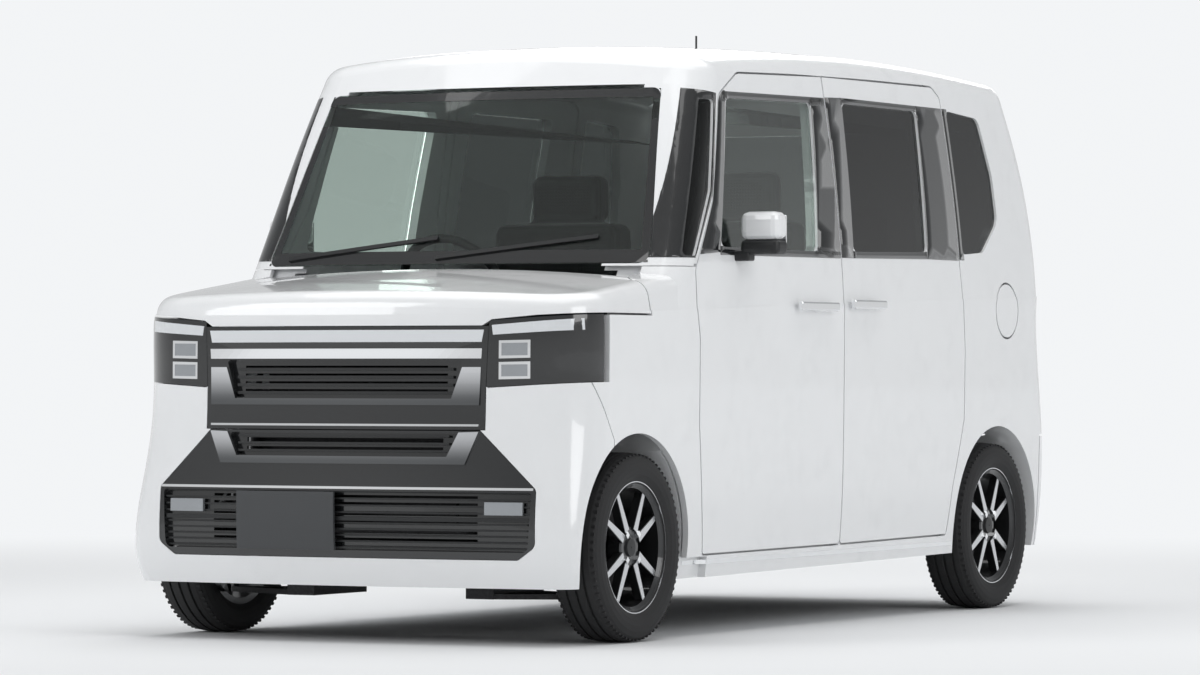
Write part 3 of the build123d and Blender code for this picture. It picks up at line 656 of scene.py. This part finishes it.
class Maker:
    """Makes the thin, lathed and boxed pieces and hangs them on their bodies."""

    # Side of the grid that lets a laid panel follow the body, in metres
    STEP = 0.03
    SKIN_OFFSET = 0.0008
    SKIN_THICK = 0.0006
    # A face is hidden when a ray from just outside it meets a panel within this reach
    PROBE_START = 0.002
    PROBE_REACH = 3.0
    BEVEL_STEPS = 3
    FRONT_NODES = ("front_bumper", "upper_grille", "lower_grille", "headlamp_left", "headlamp_right",
                   "bonnet")
    WHEEL_NODES = ("rim", "tyre")
    # Corners of a box run through both ends of X, Y and Z in turn
    BOX_FACES = ((0, 1, 3, 2), (4, 6, 7, 5), (0, 4, 5, 1), (2, 3, 7, 6), (0, 2, 6, 4), (1, 5, 7, 3))

    def __init__(self, frame: dict) -> None:
        """Read the surfaces of the frame.
        """
        self.nodes = frame["nodes"]
        self.body = self.outside(self.WHEEL_NODES)
        self.nose = Nose(Surface(self.nodes[name] for name in self.FRONT_NODES))
        self.panels = self.outside((*self.WHEEL_NODES, "door_mirror"))

    def outside(self, left_out: tuple[str, ...]) -> Surface:
        """Surface of all nodes but some families."""
        return Surface(node for name, node in self.nodes.items() if not name.startswith(left_out))

    def add(self, name: str, mesh: bpy.types.Mesh, finish: Finish, body: str) -> bpy.types.Object:
        """Put a mesh in the scene and let it ride on a body.

        Args:
            name: Name of the piece.
            mesh: Its mesh, placed as the CAD is.
            finish: Its finish.
            body: Body that it rides on.

        Returns:
            The piece.
        """
        mesh.materials.clear()
        mesh.materials.append(finish.material())
        piece = bpy.data.objects.new(name, mesh)
        bpy.context.scene.collection.objects.link(piece)
        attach(piece, body)
        LOG.info("%s: %s, rides on %s", name, finish.name, body)
        return piece

    def shaped(self, name: str, shape: bmesh.types.BMesh, finish: Finish, body: str) -> bpy.types.Object:
        """Put a shape in the scene as a piece, and free it.

        Args:
            name: Name of the piece.
            shape: The shape in the making.
            finish: Its finish.
            body: Body that it rides on.

        Returns:
            The piece.
        """
        mesh = bpy.data.meshes.new(name)
        shape.to_mesh(mesh)
        shape.free()
        return self.add(name, mesh, finish, body)

    @staticmethod
    def thicken(piece: bpy.types.Object, thickness: float) -> None:
        """Give a sheet its thickness inwards.

        Args:
            piece: The sheet.
            thickness: Its thickness, in metres.
        """
        solid = piece.modifiers.new("thickness", "SOLIDIFY")
        solid.thickness = thickness
        solid.offset = -1.0

    def sheet(self, points: Sequence[Point]) -> bmesh.types.BMesh:
        """Flat polygon cut into a grid.

        Args:
            points: Outline in millimetres.

        Returns:
            The polygon, with the outline's two coordinates in x and y.
        """
        mesh = bmesh.new()
        mesh.faces.new([mesh.verts.new((u * MM, v * MM, 0)) for u, v in points])
        for axis in (0, 1):
            values = [point[axis] * MM for point in points]
            count = int((max(values) - min(values)) / self.STEP)
            for index in range(1, count + 1):
                middle, normal = [0.0, 0.0, 0.0], [0.0, 0.0, 0.0]
                middle[axis], normal[axis] = min(values) + index * self.STEP, 1.0
                everything = mesh.verts[:] + mesh.edges[:] + mesh.faces[:]
                bmesh.ops.bisect_plane(mesh, geom=everything, plane_co=middle, plane_no=normal)
        return mesh

    def laid(self, name: str, view: Plane2D, side: int, points: Sequence[Point], finish: Finish,
             offset: float, thick: float, body: str = CAR_BODY, fitted: bool = False) -> None:
        """Panel that follows the body's outside.

        Args:
            name: Name of the piece.
            view: View that the outline is drawn in.
            side: 1 for the car's left, -1 for its right.
            points: Outline in millimetres.
            finish: Its finish.
            offset: How far it stands out, in millimetres.
            thick: Its thickness inwards, in millimetres.
            body: Body that it rides on.
            fitted: Whether it follows the fitted nose instead of the panels themselves.
        """
        mesh = self.sheet(points)
        depth = 0.0
        for vertex in mesh.verts:
            across, height = vertex.co.x, vertex.co.y
            if view is Plane2D.SIDE:
                across += FRONT_AXLE_Y
            if fitted:
                hit, ray = Vector((across * side, self.nose.y(across, height), height)), Vector((0, 1, 0))
            else:
                hit, ray = self.body.place(view, side, across, height)
            if hit is None and view is Plane2D.FRONT:
                hit = Vector((across * side, depth, height))
            elif hit is None:
                hit = Vector((depth, across, height))
            depth = hit.y if view is Plane2D.FRONT else hit.x
            vertex.co = hit - ray * offset * MM
        mesh.normal_update()
        if sum(face.normal.dot(ray) for face in mesh.faces) > 0:
            bmesh.ops.reverse_faces(mesh, faces=mesh.faces[:])
        self.thicken(self.shaped(name, mesh, finish, body), thick * MM)

    def skin(self, name: str, source: str, points: Sequence[Point], finish: Finish, body: str) -> None:
        """Thin patch copied from the outer faces of a panel.

        Args:
            name: Name of the piece.
            source: CAD node that it is copied from.
            points: Convex outline in the side view, in millimetres.
            finish: Its finish.
            body: Body that it rides on.
        """
        mesh = bmesh.new()
        mesh.from_mesh(self.nodes[source].data)
        bmesh.ops.remove_doubles(mesh, verts=mesh.verts[:], dist=WELD)
        corners = [Vector((0, at_axle(along), height * MM)) for along, height in points]
        middle = sum(corners, Vector()) / len(corners)
        for index, corner in enumerate(corners):
            edge = corners[(index + 1) % len(corners)] - corner
            normal = Vector((0, edge.z, -edge.y))
            if normal.dot(corner - middle) < 0:
                normal = -normal
            everything = mesh.verts[:] + mesh.edges[:] + mesh.faces[:]
            bmesh.ops.bisect_plane(mesh, geom=everything, plane_co=corner, plane_no=normal, clear_outer=True)
        mesh.normal_update()
        bmesh.ops.delete(mesh, geom=[face for face in mesh.faces if self.covered(face)], context="FACES")
        mesh.normal_update()
        for vertex in mesh.verts:
            vertex.co += vertex.normal * self.SKIN_OFFSET
        self.thicken(self.shaped(name, mesh, finish, body), self.SKIN_THICK)

    def covered(self, face: bmesh.types.BMFace) -> bool:
        """Whether a panel lies in front of a face.

        Args:
            face: Face of a copy of a panel.

        Returns:
            True when a ray from just outside the face meets a panel.
        """
        start = face.calc_center_median() + face.normal * self.PROBE_START
        return self.panels.tree.ray_cast(start, face.normal, self.PROBE_REACH)[0] is not None

    def closed(self, name: str, points: Sequence[Vector], faces: Sequence[Sequence[int]], finish: Finish,
               body: str, bevel: float = 0.0) -> bpy.types.Object:
        """Closed mesh with its faces turned outwards.

        Args:
            name: Name of the piece.
            points: Its corners, in metres.
            faces: Its faces, as places in the list of corners.
            finish: Its finish.
            body: Body that it rides on.
            bevel: Width of its rounded edges in millimetres, or 0 for sharp ones.

        Returns:
            The piece.
        """
        mesh = bmesh.new()
        corners = [mesh.verts.new(point) for point in points]
        for face in faces:
            mesh.faces.new([corners[index] for index in face])
        bmesh.ops.recalc_face_normals(mesh, faces=mesh.faces[:])
        piece = self.shaped(name, mesh, finish, body)
        if bevel:
            edge = piece.modifiers.new("edge", "BEVEL")
            edge.width = bevel * MM
            edge.segments = self.BEVEL_STEPS
        return piece

    def block(self, name: str, low: Sequence[float], high: Sequence[float], finish: Finish, body: str,
              bevel: float) -> bpy.types.Object:
        """Box with rounded edges.

        Args:
            name: Name of the piece.
            low: Its lowest corner, in millimetres.
            high: Its highest corner, in millimetres.
            finish: Its finish.
            body: Body that it rides on.
            bevel: Width of its rounded edges, in millimetres.

        Returns:
            The piece.
        """
        ends = (low, high)
        points = [Vector((ends[i][0] * MM, at_axle(ends[j][1]), ends[k][2] * MM))
                  for i in (0, 1) for j in (0, 1) for k in (0, 1)]
        return self.closed(name, points, self.BOX_FACES, finish, body, bevel)

    def lathe(self, name: str, profile: Sequence[Point], centre: Vector, side: int, finish: Finish,
              body: str, steps: int = 96) -> bpy.types.Object:
        """Closed ring turned about the wheel's axis.

        Args:
            name: Name of the piece.
            profile: Places along the axis and radii, in millimetres.
            centre: Middle of the wheel, in metres.
            side: 1 for the car's left, -1 for its right.
            finish: Its finish.
            body: Body that it rides on.
            steps: Sections round the axis.

        Returns:
            The piece.
        """
        points, faces, count = [], [], len(profile)
        for step in range(steps):
            turn = 2 * math.pi * step / steps
            points += [centre + Vector((side * x, r * math.cos(turn), r * math.sin(turn))) * MM
                       for x, r in profile]
            after = (step + 1) % steps
            for index in range(count):
                follow = (index + 1) % count
                faces.append((step * count + index, step * count + follow, after * count + follow,
                              after * count + index))
        return self.closed(name, points, faces, finish, body)


class RadialRepeat:
    """Geometry Nodes tree that repeats one small piece round the wheel's axis."""

    INPUTS = (("Piece", "NodeSocketObject"), ("Count", "NodeSocketInt"), ("Radius", "NodeSocketFloat"),
              ("Material", "NodeSocketMaterial"))

    def __init__(self) -> None:
        """Build the tree with its named inputs."""
        tree = bpy.data.node_groups.new("radial_repeat", "GeometryNodeTree")
        face = tree.interface
        for name, kind in self.INPUTS:
            face.new_socket(name=name, in_out="INPUT", socket_type=kind)
        face.new_socket(name="Geometry", in_out="OUTPUT", socket_type="NodeSocketGeometry")
        new, link = tree.nodes.new, tree.links.new
        source, result = new("NodeGroupInput"), new("NodeGroupOutput")
        circle, info = new("GeometryNodeMeshCircle"), new("GeometryNodeObjectInfo")
        place, turn = new("GeometryNodeInstanceOnPoints"), new("FunctionNodeAlignRotationToVector")
        turn.axis = "X"
        position, real, paint = (new("GeometryNodeInputPosition"), new("GeometryNodeRealizeInstances"),
                                 new("GeometryNodeSetMaterial"))
        link(source.outputs["Count"], circle.inputs["Vertices"])
        link(source.outputs["Radius"], circle.inputs["Radius"])
        link(source.outputs["Piece"], info.inputs["Object"])
        link(circle.outputs["Mesh"], place.inputs["Points"])
        link(info.outputs["Geometry"], place.inputs["Instance"])
        link(position.outputs["Position"], turn.inputs["Vector"])
        link(turn.outputs["Rotation"], place.inputs["Rotation"])
        link(place.outputs["Instances"], real.inputs["Geometry"])
        link(real.outputs["Geometry"], paint.inputs["Geometry"])
        link(source.outputs["Material"], paint.inputs["Material"])
        link(paint.outputs["Geometry"], result.inputs["Geometry"])
        self.tree = tree

    def mesh(self, name: str, size: Point3, count: int, radius: float, finish: Finish) -> bpy.types.Mesh:
        """Plain mesh of the repeated piece, turned about Z at the origin.

        Args:
            name: Name of the mesh.
            size: Radial, round and axial size of one piece, in metres.
            count: How many there are.
            radius: Radius of their centres, in metres.
            finish: Their finish.

        Returns:
            The mesh, with every copy real.
        """
        seed_mesh = bpy.data.meshes.new(f"{name}_seed")
        shape = bmesh.new()
        bmesh.ops.create_cube(shape, size=1.0, matrix=Matrix.Diagonal((*size, 1.0)))
        shape.to_mesh(seed_mesh)
        shape.free()
        seed = bpy.data.objects.new(f"{name}_seed", seed_mesh)
        holder = bpy.data.objects.new(f"{name}_holder", bpy.data.meshes.new(f"{name}_holder"))
        for item in (seed, holder):
            bpy.context.scene.collection.objects.link(item)
        repeat = holder.modifiers.new("repeat", "NODES")
        repeat.node_group = self.tree
        values = {"Piece": seed, "Count": count, "Radius": radius, "Material": finish.material()}
        for item in self.tree.interface.items_tree:
            if item.in_out == "INPUT":
                repeat[item.identifier] = values[item.name]
        bpy.context.view_layer.update()
        graph = bpy.context.evaluated_depsgraph_get()
        result = bpy.data.meshes.new_from_object(holder.evaluated_get(graph))
        for item in (holder, seed):
            bpy.data.objects.remove(item)
        return result


class Ring(NamedTuple):
    """Small pieces repeated round a wheel's axis.

    Attributes:
        name: Name of the pieces.
        size: Radial, round and axial size of one, in metres.
        count: How many there are.
        radius: Radius of their centres, in metres.
        along: Place along the axis, outwards from the wheel's middle, in millimetres.
        finish: Their finish.
        start: Turn of the first one, in degrees.
    """

    name: str
    size: Point3
    count: int
    radius: float
    along: float
    finish: Finish
    start: float = 0.0


class SpokeLayer(NamedTuple):
    """One layer of the spokes, in millimetres.

    Attributes:
        name: Name of the layer.
        finish: Its finish.
        root: Half width at the hub.
        tip: Half width at the rim.
        back: Place of its back along the axis.
        root_face: Place of its face at the hub.
        tip_face: Place of its face at the rim.
    """

    name: str
    finish: Finish
    root: float
    tip: float
    back: float
    root_face: float
    tip_face: float


@dataclass
class Wheels:
    """Tyres with grooves and shoulder blocks, and two-tone rims with forked spokes.

    Outlines hold places along the axis, outwards from the wheel's middle, and radii, in millimetres.
    """

    maker: Maker
    repeat: RadialRepeat
    axles: tuple[tuple[str, float], ...] = (("front", 0.0), ("rear", 2520.0))
    half_track: float = 0.6525
    axle_height: float = 0.268
    tyre: Outline = (
        (-56, 179), (-66, 190), (-74, 205), (-77, 222), (-76, 238), (-71, 252), (-62, 261), (-50, 265.5),
        (-35, 267.2), (-34, 261), (-28, 261), (-27, 267.8), (-4, 268), (-3, 261), (3, 261), (4, 268),
        (27, 267.8), (28, 261), (34, 261), (35, 267.2), (50, 265.5), (62, 261), (71, 252), (76, 238),
        (77, 222), (74, 205), (66, 190), (56, 179))
    barrel: Outline = ((-63, 168), (-63, 191), (-56, 191), (-56, 178), (56, 178), (56, 191), (61, 191),
                       (60, 184), (48, 168))
    # Turned parts of the rim. Columns: name, outline, finish
    turned: tuple[tuple[str, Outline, Finish], ...] = (
        ("lip", ((60.5, 184), (61.5, 191.5), (63, 191.5), (63, 184)), MACHINED),
        ("disc", ((-27, 14), (-27, 118), (-13, 118), (-13, 14)), DARK_METAL),
        ("hub", ((5, 14), (5, 62), (40, 58), (43, 50), (43, 14)), ALLOY),
        ("cap", ((43, 2), (43, 27), (49, 25), (50, 2)), SATIN_BLACK))
    rings: tuple[Ring, ...] = (
        Ring("tread_blocks_inner", (0.005, 0.0085, 0.016), 76, 0.2612, -59.0, RUBBER),
        Ring("tread_blocks_outer", (0.005, 0.0085, 0.016), 76, 0.2612, 59.0, RUBBER),
        Ring("lug_nuts", (0.015, 0.015, 0.014), 4, 0.05, 49.0, CHROME, 45.0))
    layers: tuple[SpokeLayer, ...] = (
        SpokeLayer("flank", ALLOY, 14, 9, 22, 48, 46),
        SpokeLayer("face", MACHINED, 12, 7.4, 40, 49, 47))
    pairs: int = 4
    pair_start: float = 45.0
    # Half the angle between the two spokes of a fork
    split: float = 17.0
    spoke_root: float = 52.0
    spoke_tip: float = 176.0

    def build(self) -> None:
        """Make all four wheels in place of the CAD's."""
        for end, place in self.axles:
            for name, side in SIDES.items():
                centre = Vector((side * self.half_track, at_axle(place), self.axle_height))
                self.wheel(f"{end}_{name}", side, centre)

    def wheel(self, key: str, side: int, centre: Vector) -> None:
        """One wheel.

        Args:
            key: Its end and side of the car, as in the names of its nodes.
            side: 1 for the car's left, -1 for its right.
            centre: Its middle, in metres.
        """
        make, body = self.maker, f"wheel_{key}"
        tyre = make.lathe(f"tyre_tread_{key}", self.tyre, centre, side, RUBBER, body)
        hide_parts(f"tyre_{key}")
        barrel = make.lathe(f"rim_barrel_{key}", self.barrel, centre, side, ALLOY, body)
        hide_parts(f"rim_{key}")
        for part, profile, finish in self.turned:
            make.lathe(f"rim_{part}_{key}", profile, centre, side, finish, body)
        for layer in self.layers:
            self.spokes(layer, key, side, centre)
        for ring in self.rings:
            self.ring(ring, key, side, centre)

    def ring(self, ring: Ring, key: str, side: int, centre: Vector) -> None:
        """Repeated pieces round the axis of one wheel.

        Args:
            ring: The pieces.
            key: The wheel's end and side of the car.
            side: 1 for the car's left, -1 for its right.
            centre: The wheel's middle, in metres.
        """
        name = f"{ring.name}_{key}"
        mesh = self.repeat.mesh(name, ring.size, ring.count, ring.radius, ring.finish)
        spin = Matrix.Rotation(math.radians(ring.start), 4, "Z")
        for vertex in mesh.vertices:
            point = spin @ vertex.co
            vertex.co = centre + Vector((point.z + side * ring.along * MM, point.x, point.y))
        self.maker.add(name, mesh, ring.finish, f"wheel_{key}")

    def spokes(self, layer: SpokeLayer, key: str, side: int, centre: Vector) -> None:
        """One layer of all forked spokes of a wheel.

        Args:
            layer: Dark flanks or bright faces.
            key: The wheel's end and side of the car.
            side: 1 for the car's left, -1 for its right.
            centre: The wheel's middle, in metres.
        """
        # Corners of a spoke run round its root and then round its tip
        faces = ((0, 1, 2, 3), (4, 7, 6, 5), (0, 4, 5, 1), (1, 5, 6, 2), (2, 6, 7, 3), (3, 7, 4, 0))
        ends = ((self.spoke_root, layer.root, layer.root_face), (self.spoke_tip, layer.tip, layer.tip_face))
        turns = [360 / self.pairs * pair + self.pair_start + fork
                 for pair in range(self.pairs) for fork in (-self.split, self.split)]
        points, polygons = [], []
        for turn in turns:
            start = len(points)
            angle = math.radians(turn)
            along = Vector((0, math.cos(angle), math.sin(angle)))
            across = Vector((0, -math.sin(angle), math.cos(angle)))
            for radius, half, front in ends:
                for x, w in ((layer.back, -half), (layer.back, half), (front, half), (front, -half)):
                    points.append(centre + (Vector((side * x, 0, 0)) + along * radius + across * w) * MM)
            polygons += [tuple(start + index for index in face) for face in faces]
        self.maker.closed(f"spoke_{layer.name}_{key}", points, polygons, layer.finish, f"wheel_{key}")


class NosePanel(NamedTuple):
    """Panel on the nose, in millimetres.

    Attributes:
        name: Its name.
        finish: Its finish.
        offset: How far it stands out.
        thick: Its thickness inwards.
        outline: Its outline in the front view.
    """

    name: str
    finish: Finish
    offset: float
    thick: float
    outline: Outline


class SlatRow(NamedTuple):
    """Row of slats in one opening, in millimetres.

    Attributes:
        first: Level of the lowest slat.
        last: Level of the highest slat.
        count: How many there are.
        half: Half their length.
        height: Height of one slat.
    """

    first: float
    last: float
    count: int
    half: float
    height: float


@dataclass
class FrontFace:
    """Light bar, bright bars, garnish, slats, lamps and the blank plate."""

    maker: Maker
    panels: tuple[NosePanel, ...] = (
        NosePanel("light_bar", LIGHT_BAR, 1.0, 8, ((-440, 846), (440, 846), (447, 880), (-447, 880))),
        NosePanel("bar_gap", GLOSS_BLACK, 0.6, 6, ((-443, 830), (443, 830), (444, 845), (-444, 845))),
        NosePanel("bright_bar", CHROME, 5.0, 16, ((-441, 800), (441, 800), (443, 828), (-443, 828))),
        NosePanel("panel_edge", CHROME, 4.0, 8, ((-436, 611), (436, 611), (437, 617), (-437, 617))),
        NosePanel("garnish_edge", CHROME, 4.0, 8, ((-606, 434), (606, 434), (607, 441), (-607, 441))),
        NosePanel("intake_bar", SATIN_BLACK, -4.0, 16, ((-592, 345), (592, 345), (592, 357), (-592, 357))),
        # The two bands are bright chrome with a painted reflection that makes them dark below and bright
        # above
        NosePanel("upper_band", UPPER_BAND_PAINTED_REFLECTION, 5.5, 10,
                  ((-440, 776), (-437, 670), (437, 670), (440, 776), (384, 776), (352, 688), (-352, 688),
                   (-384, 776))),
        NosePanel("lower_band", LOWER_BAND_PAINTED_REFLECTION, 4.5, 10,
                  ((-437, 596), (-398, 505), (398, 505), (437, 596), (377, 594), (342, 526), (-342, 526),
                   (-377, 594))),
        NosePanel("plate", PLATE, 14.0, 9, ((-333, 262), (-8, 262), (-8, 426), (-333, 426))))
    slats: tuple[SlatRow, ...] = (SlatRow(700, 766, 4, 352, 8), SlatRow(538, 580, 3, 344, 6),
                                  SlatRow(268, 336, 5, 586, 5), SlatRow(366, 424, 4, 596, 5))
    # The slats' faces lie behind the nose
    slat_offset: float = -7.0
    slat_depth: float = 12.0
    # Black border of the windscreen. Columns: name, outline
    border: tuple[tuple[str, Outline], ...] = (
        ("bottom", ((-634, 1078), (634, 1078), (626, 1116), (-626, 1116))),
        ("top", ((-558, 1566), (558, 1566), (552, 1591), (-552, 1591))),
        ("left", ((604, 1110), (630, 1110), (556, 1572), (534, 1572))),
        ("right", ((-604, 1110), (-630, 1110), (-556, 1572), (-534, 1572))))
    border_offset: float = 0.8
    border_thick: float = 0.6
    guide: Outline = ((470, 893), (706, 912), (708, 880), (474, 866))
    # Lamp units. Columns: inner x, low z, width, height
    units: tuple[tuple[float, float, float, float], ...] = ((492, 800, 92, 52), (492, 742, 92, 50))
    unit_slope: float = 2.0
    unit_border: float = 8.0
    lamp_offset: float = 1.4
    lamp_thick: float = 2.0
    # The lens stands this far out of the frame round it
    lens_proud: float = 1.0
    fog: Outline = ((459, 365), (574, 365), (574, 401), (459, 401))
    fog_offset: float = 1.0
    fog_thick: float = 10.0

    def build(self) -> None:
        """Make the pieces of the front."""
        make = self.maker
        for name, finish, offset, thick, points in self.panels:
            make.laid(name, Plane2D.FRONT, 1, points, finish, offset, thick, fitted=True)
        for number, row in enumerate(self.slats):
            self.slat_row(number, row)
        for name, points in self.border:
            make.laid(f"screen_border_{name}", Plane2D.FRONT, 1, points, GLOSS_BLACK, self.border_offset,
                      self.border_thick)
        for name, side in SIDES.items():
            self.lamp(name, side)

    def slat_row(self, number: int, row: SlatRow) -> None:
        """Slats of one opening.

        Args:
            number: Number of the row, for the slats' names.
            row: The row.
        """
        for index in range(row.count):
            low = row.first + (row.last - row.first) * index / (row.count - 1)
            high = low + row.height
            points = ((-row.half, low), (row.half, low), (row.half, high), (-row.half, high))
            self.maker.laid(f"slat_{number}_{index}", Plane2D.FRONT, 1, points, SATIN_BLACK, self.slat_offset,
                            self.slat_depth, fitted=True)

    def lamp(self, name: str, side: int) -> None:
        """Headlamp dress and fog lamp of one side.

        Args:
            name: Left or right.
            side: 1 for the car's left, -1 for its right.
        """
        make, front, offset, thick = self.maker, Plane2D.FRONT, self.lamp_offset, self.lamp_thick
        make.laid(f"lamp_guide_{name}", front, side, self.guide, LIGHT_BAR, offset, thick)
        for index, (x, z, width, height) in enumerate(self.units):
            slope, edge = self.unit_slope, self.unit_border
            right, top = x + width, z + height
            frame = ((x, z), (right, z + slope), (right, top), (x, top - slope))
            # The lens slopes half as much as its frame
            inner = ((x + edge, z + edge), (right - edge, z + edge + slope / 2), (right - edge, top - edge),
                     (x + edge, top - edge - slope / 2))
            make.laid(f"lamp_frame_{index}_{name}", front, side, frame, CHROME, offset, thick)
            make.laid(f"lamp_lens_{index}_{name}", front, side, inner, LAMP_LENS, offset + self.lens_proud,
                      thick)
        make.laid(f"fog_lens_{name}", front, side, self.fog, LAMP_LENS, self.fog_offset, self.fog_thick,
                  fitted=True)


class Patch(NamedTuple):
    """Black patch on a side panel, in millimetres.

    Attributes:
        name: Its name.
        source: Family of the node that it is copied from.
        body: Body that it rides on, without the side of the car.
        outline: Its convex outline in the side view.
    """

    name: str
    source: str
    body: str
    outline: Outline


class MirrorPart(NamedTuple):
    """Box of a door mirror, in millimetres.

    Attributes:
        name: Its name.
        across: Its inner and outer place across the car.
        along: Its front and rear place along the car.
        levels: Its low and high level.
        finish: Its finish.
        edge: Width of its rounded edges.
    """

    name: str
    across: Point
    along: Point
    levels: Point
    finish: Finish
    edge: float


@dataclass
class SideTrim:
    """Black pillars and sashes, bright handles, mirrors and sill mouldings of both sides."""

    maker: Maker
    patches: tuple[Patch, ...] = (
        Patch("a_pillar", SIDE_FRAME, CAR_BODY,
              ((235, 1092), (352, 1092), (500, 1282), (600, 1580), (495, 1592))),
        Patch("sash_front", DOOR, DOOR, ((340, 1100), (516, 1112), (662, 1590), (600, 1596))),
        Patch("sash_sill", DOOR, DOOR, ((516, 1104), (1338, 1110), (1338, 1130), (516, 1130))),
        Patch("sash_top", DOOR, DOOR, ((640, 1560), (1338, 1574), (1338, 1600), (640, 1588))),
        Patch("b_pillar_door", DOOR, DOOR, ((1172, 1120), (1338, 1120), (1338, 1598), (1242, 1596))),
        Patch("b_pillar_slider", SLIDER, CAR_BODY, ((1342, 1112), (1428, 1112), (1460, 1606), (1342, 1602))),
        Patch("slider_sill", SLIDER, CAR_BODY, ((1426, 1112), (1982, 1120), (1982, 1144), (1426, 1134))),
        Patch("slider_top", SLIDER, CAR_BODY, ((1450, 1584), (2012, 1586), (2012, 1606), (1450, 1606))),
        Patch("c_pillar", SLIDER, CAR_BODY, ((1978, 1120), (2240, 1120), (2222, 1606), (2008, 1606))),
        Patch("c_pillar_frame", SIDE_FRAME, CAR_BODY,
              ((2215, 1122), (2262, 1122), (2246, 1606), (2200, 1606))),
    )
    moulding: Outline = ((325, 207), (2201, 213), (2201, 226), (325, 220))
    moulding_offset: float = 2.0
    moulding_thick: float = 2.0
    # Handles. Columns: body, place, level, length
    handles: tuple[tuple[str, float, float, float], ...] = (
        (DOOR, 985, 948, 262),
        (CAR_BODY, 1360, 958, 230),
    )
    handle_across: Point = (750.0, 767.0)
    handle_height: float = 26.0
    handle_edge: float = 5.0
    # White cap over a black shell on a black arm
    mirror_parts: tuple[MirrorPart, ...] = (
        MirrorPart("shell", (742, 868), (603, 678), (1106, 1150), SATIN_BLACK, 16.0),
        MirrorPart("cap", (741, 869), (601, 676), (1148, 1232), PAINT, 24.0),
        MirrorPart("glass", (750, 860), (675, 680), (1116, 1222), CHROME, 1.0),
        MirrorPart("arm", (694, 772), (606, 650), (1088, 1118), SATIN_BLACK, 6.0))

    def build(self) -> None:
        """Make the trim of both sides."""
        for name, side in SIDES.items():
            for patch in self.patches:
                self.maker.skin(f"{patch.name}_{name}", f"{patch.source}_{name}", patch.outline, GLOSS_BLACK,
                                self.owner(patch.body, name))
            self.maker.laid(f"sill_moulding_{name}", Plane2D.SIDE, side, self.moulding, CHROME,
                            self.moulding_offset, self.moulding_thick)
            for index, (body, place, level, length) in enumerate(self.handles):
                owner = self.owner(body, name)
                self.box(f"handle_{index}_{name}", side, self.handle_across, (place, place + length),
                         (level, level + self.handle_height), CHROME, owner, self.handle_edge)
            self.mirror(name, side)

    @staticmethod
    def owner(body: str, name: str) -> str:
        """Body of one side: the car body, or that side's door."""
        return body if body == CAR_BODY else f"{body}_{name}"

    def box(self, name: str, side: int, across: Point, along: Point, levels: Point, finish: Finish, body: str,
            edge: float) -> bpy.types.Object:
        """Box on one side of the car.

        Args:
            name: Name of the piece.
            side: 1 for the car's left, -1 for its right.
            across: Its inner and outer place across the car, in millimetres.
            along: Its front and rear place along the car, in millimetres.
            levels: Its low and high level, in millimetres.
            finish: Its finish.
            body: Body that it rides on.
            edge: Width of its rounded edges, in millimetres.

        Returns:
            The piece.
        """
        low, high = zip(sorted(side * x for x in across), along, levels)
        return self.maker.block(name, low, high, finish, body, edge)

    def mirror(self, name: str, side: int) -> None:
        """Mirror of one side, in place of the CAD's.

        Args:
            name: Left or right.
            side: 1 for the car's left, -1 for its right.
        """
        for part in self.mirror_parts:
            self.box(f"mirror_{part.name}_{name}", side, part.across, part.along,
                                         part.levels, part.finish, self.owner(DOOR, name), part.edge)
        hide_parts(f"door_mirror_{name}")


@dataclass
class Extras:
    """Wipers, roof aerial and the seats' padding."""

    maker: Maker
    # Blocks of the aerial, in millimetres. Columns: name, lowest corner, highest corner, edge
    aerial: tuple[tuple[str, Point3, Point3, float], ...] = (
        ("base", (-12, 1770, 1752), (12, 1806, 1782), 6.0),
        ("rod", (-2.5, 1796, 1776), (2.5, 1802, 1836), 1.0))
    # Wipers, in millimetres. Columns: start and end of the blade's lower edge
    wipers: tuple[tuple[Point, Point], ...] = (((-560, 1092), (-40, 1150)), ((-30, 1092), (470, 1150)))
    wiper_height: float = 11.0
    wiper_offset: float = 9.0
    wiper_thick: float = 7.0
    seats: tuple[str, ...] = ("front_seats", "rear_seats")
    seat_voxel: float = 0.012
    seat_smoothing: int = 5
    seat_fill: float = 0.8

    def build(self) -> None:
        """Make the pieces."""
        for name, low, high, edge in self.aerial:
            self.maker.block(f"aerial_{name}", low, high, SATIN_BLACK, CAR_BODY, edge)
        for index, ((x0, z0), (x1, z1)) in enumerate(self.wipers):
            points = ((x0, z0), (x1, z1), (x1, z1 + self.wiper_height), (x0, z0 + self.wiper_height))
            self.maker.laid(f"wiper_{index}", Plane2D.FRONT, 1, points, SATIN_BLACK, self.wiper_offset,
                            self.wiper_thick)
        for name in self.seats:
            self.seat(name)

    def seat(self, name: str) -> None:
        """Padding in place of the plain CAD seats.

        Args:
            name: Name of the seats' node.
        """
        mesh = self.maker.nodes[name].data.copy()
        shape = bmesh.new()
        shape.from_mesh(mesh)
        bmesh.ops.remove_doubles(shape, verts=shape.verts[:], dist=WELD)
        shape.to_mesh(mesh)
        shape.free()
        piece = self.maker.add(f"{name}_padding", mesh, SEAT_CLOTH, CAR_BODY)
        even = piece.modifiers.new("even", "REMESH")
        even.mode = "VOXEL"
        even.voxel_size = self.seat_voxel
        soft = piece.modifiers.new("soft", "SMOOTH")
        soft.iterations = self.seat_smoothing
        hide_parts(name)


def main() -> None:
    """Build the pieces in order."""
    logging.basicConfig(level=logging.INFO, format="%(message)s")
    for item in list(bpy.data.objects):
        bpy.data.objects.remove(item)
    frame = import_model()
    bpy.context.scene.view_settings.view_transform = "Standard"
    Studio().build()
    BodyShell().dress(frame["nodes"])
    maker = Maker(frame)
    Wheels(maker, RadialRepeat()).build()
    for part in (FrontFace, SideTrim, Extras):
        part(maker).build()


if __name__ == "__main__":
    main()
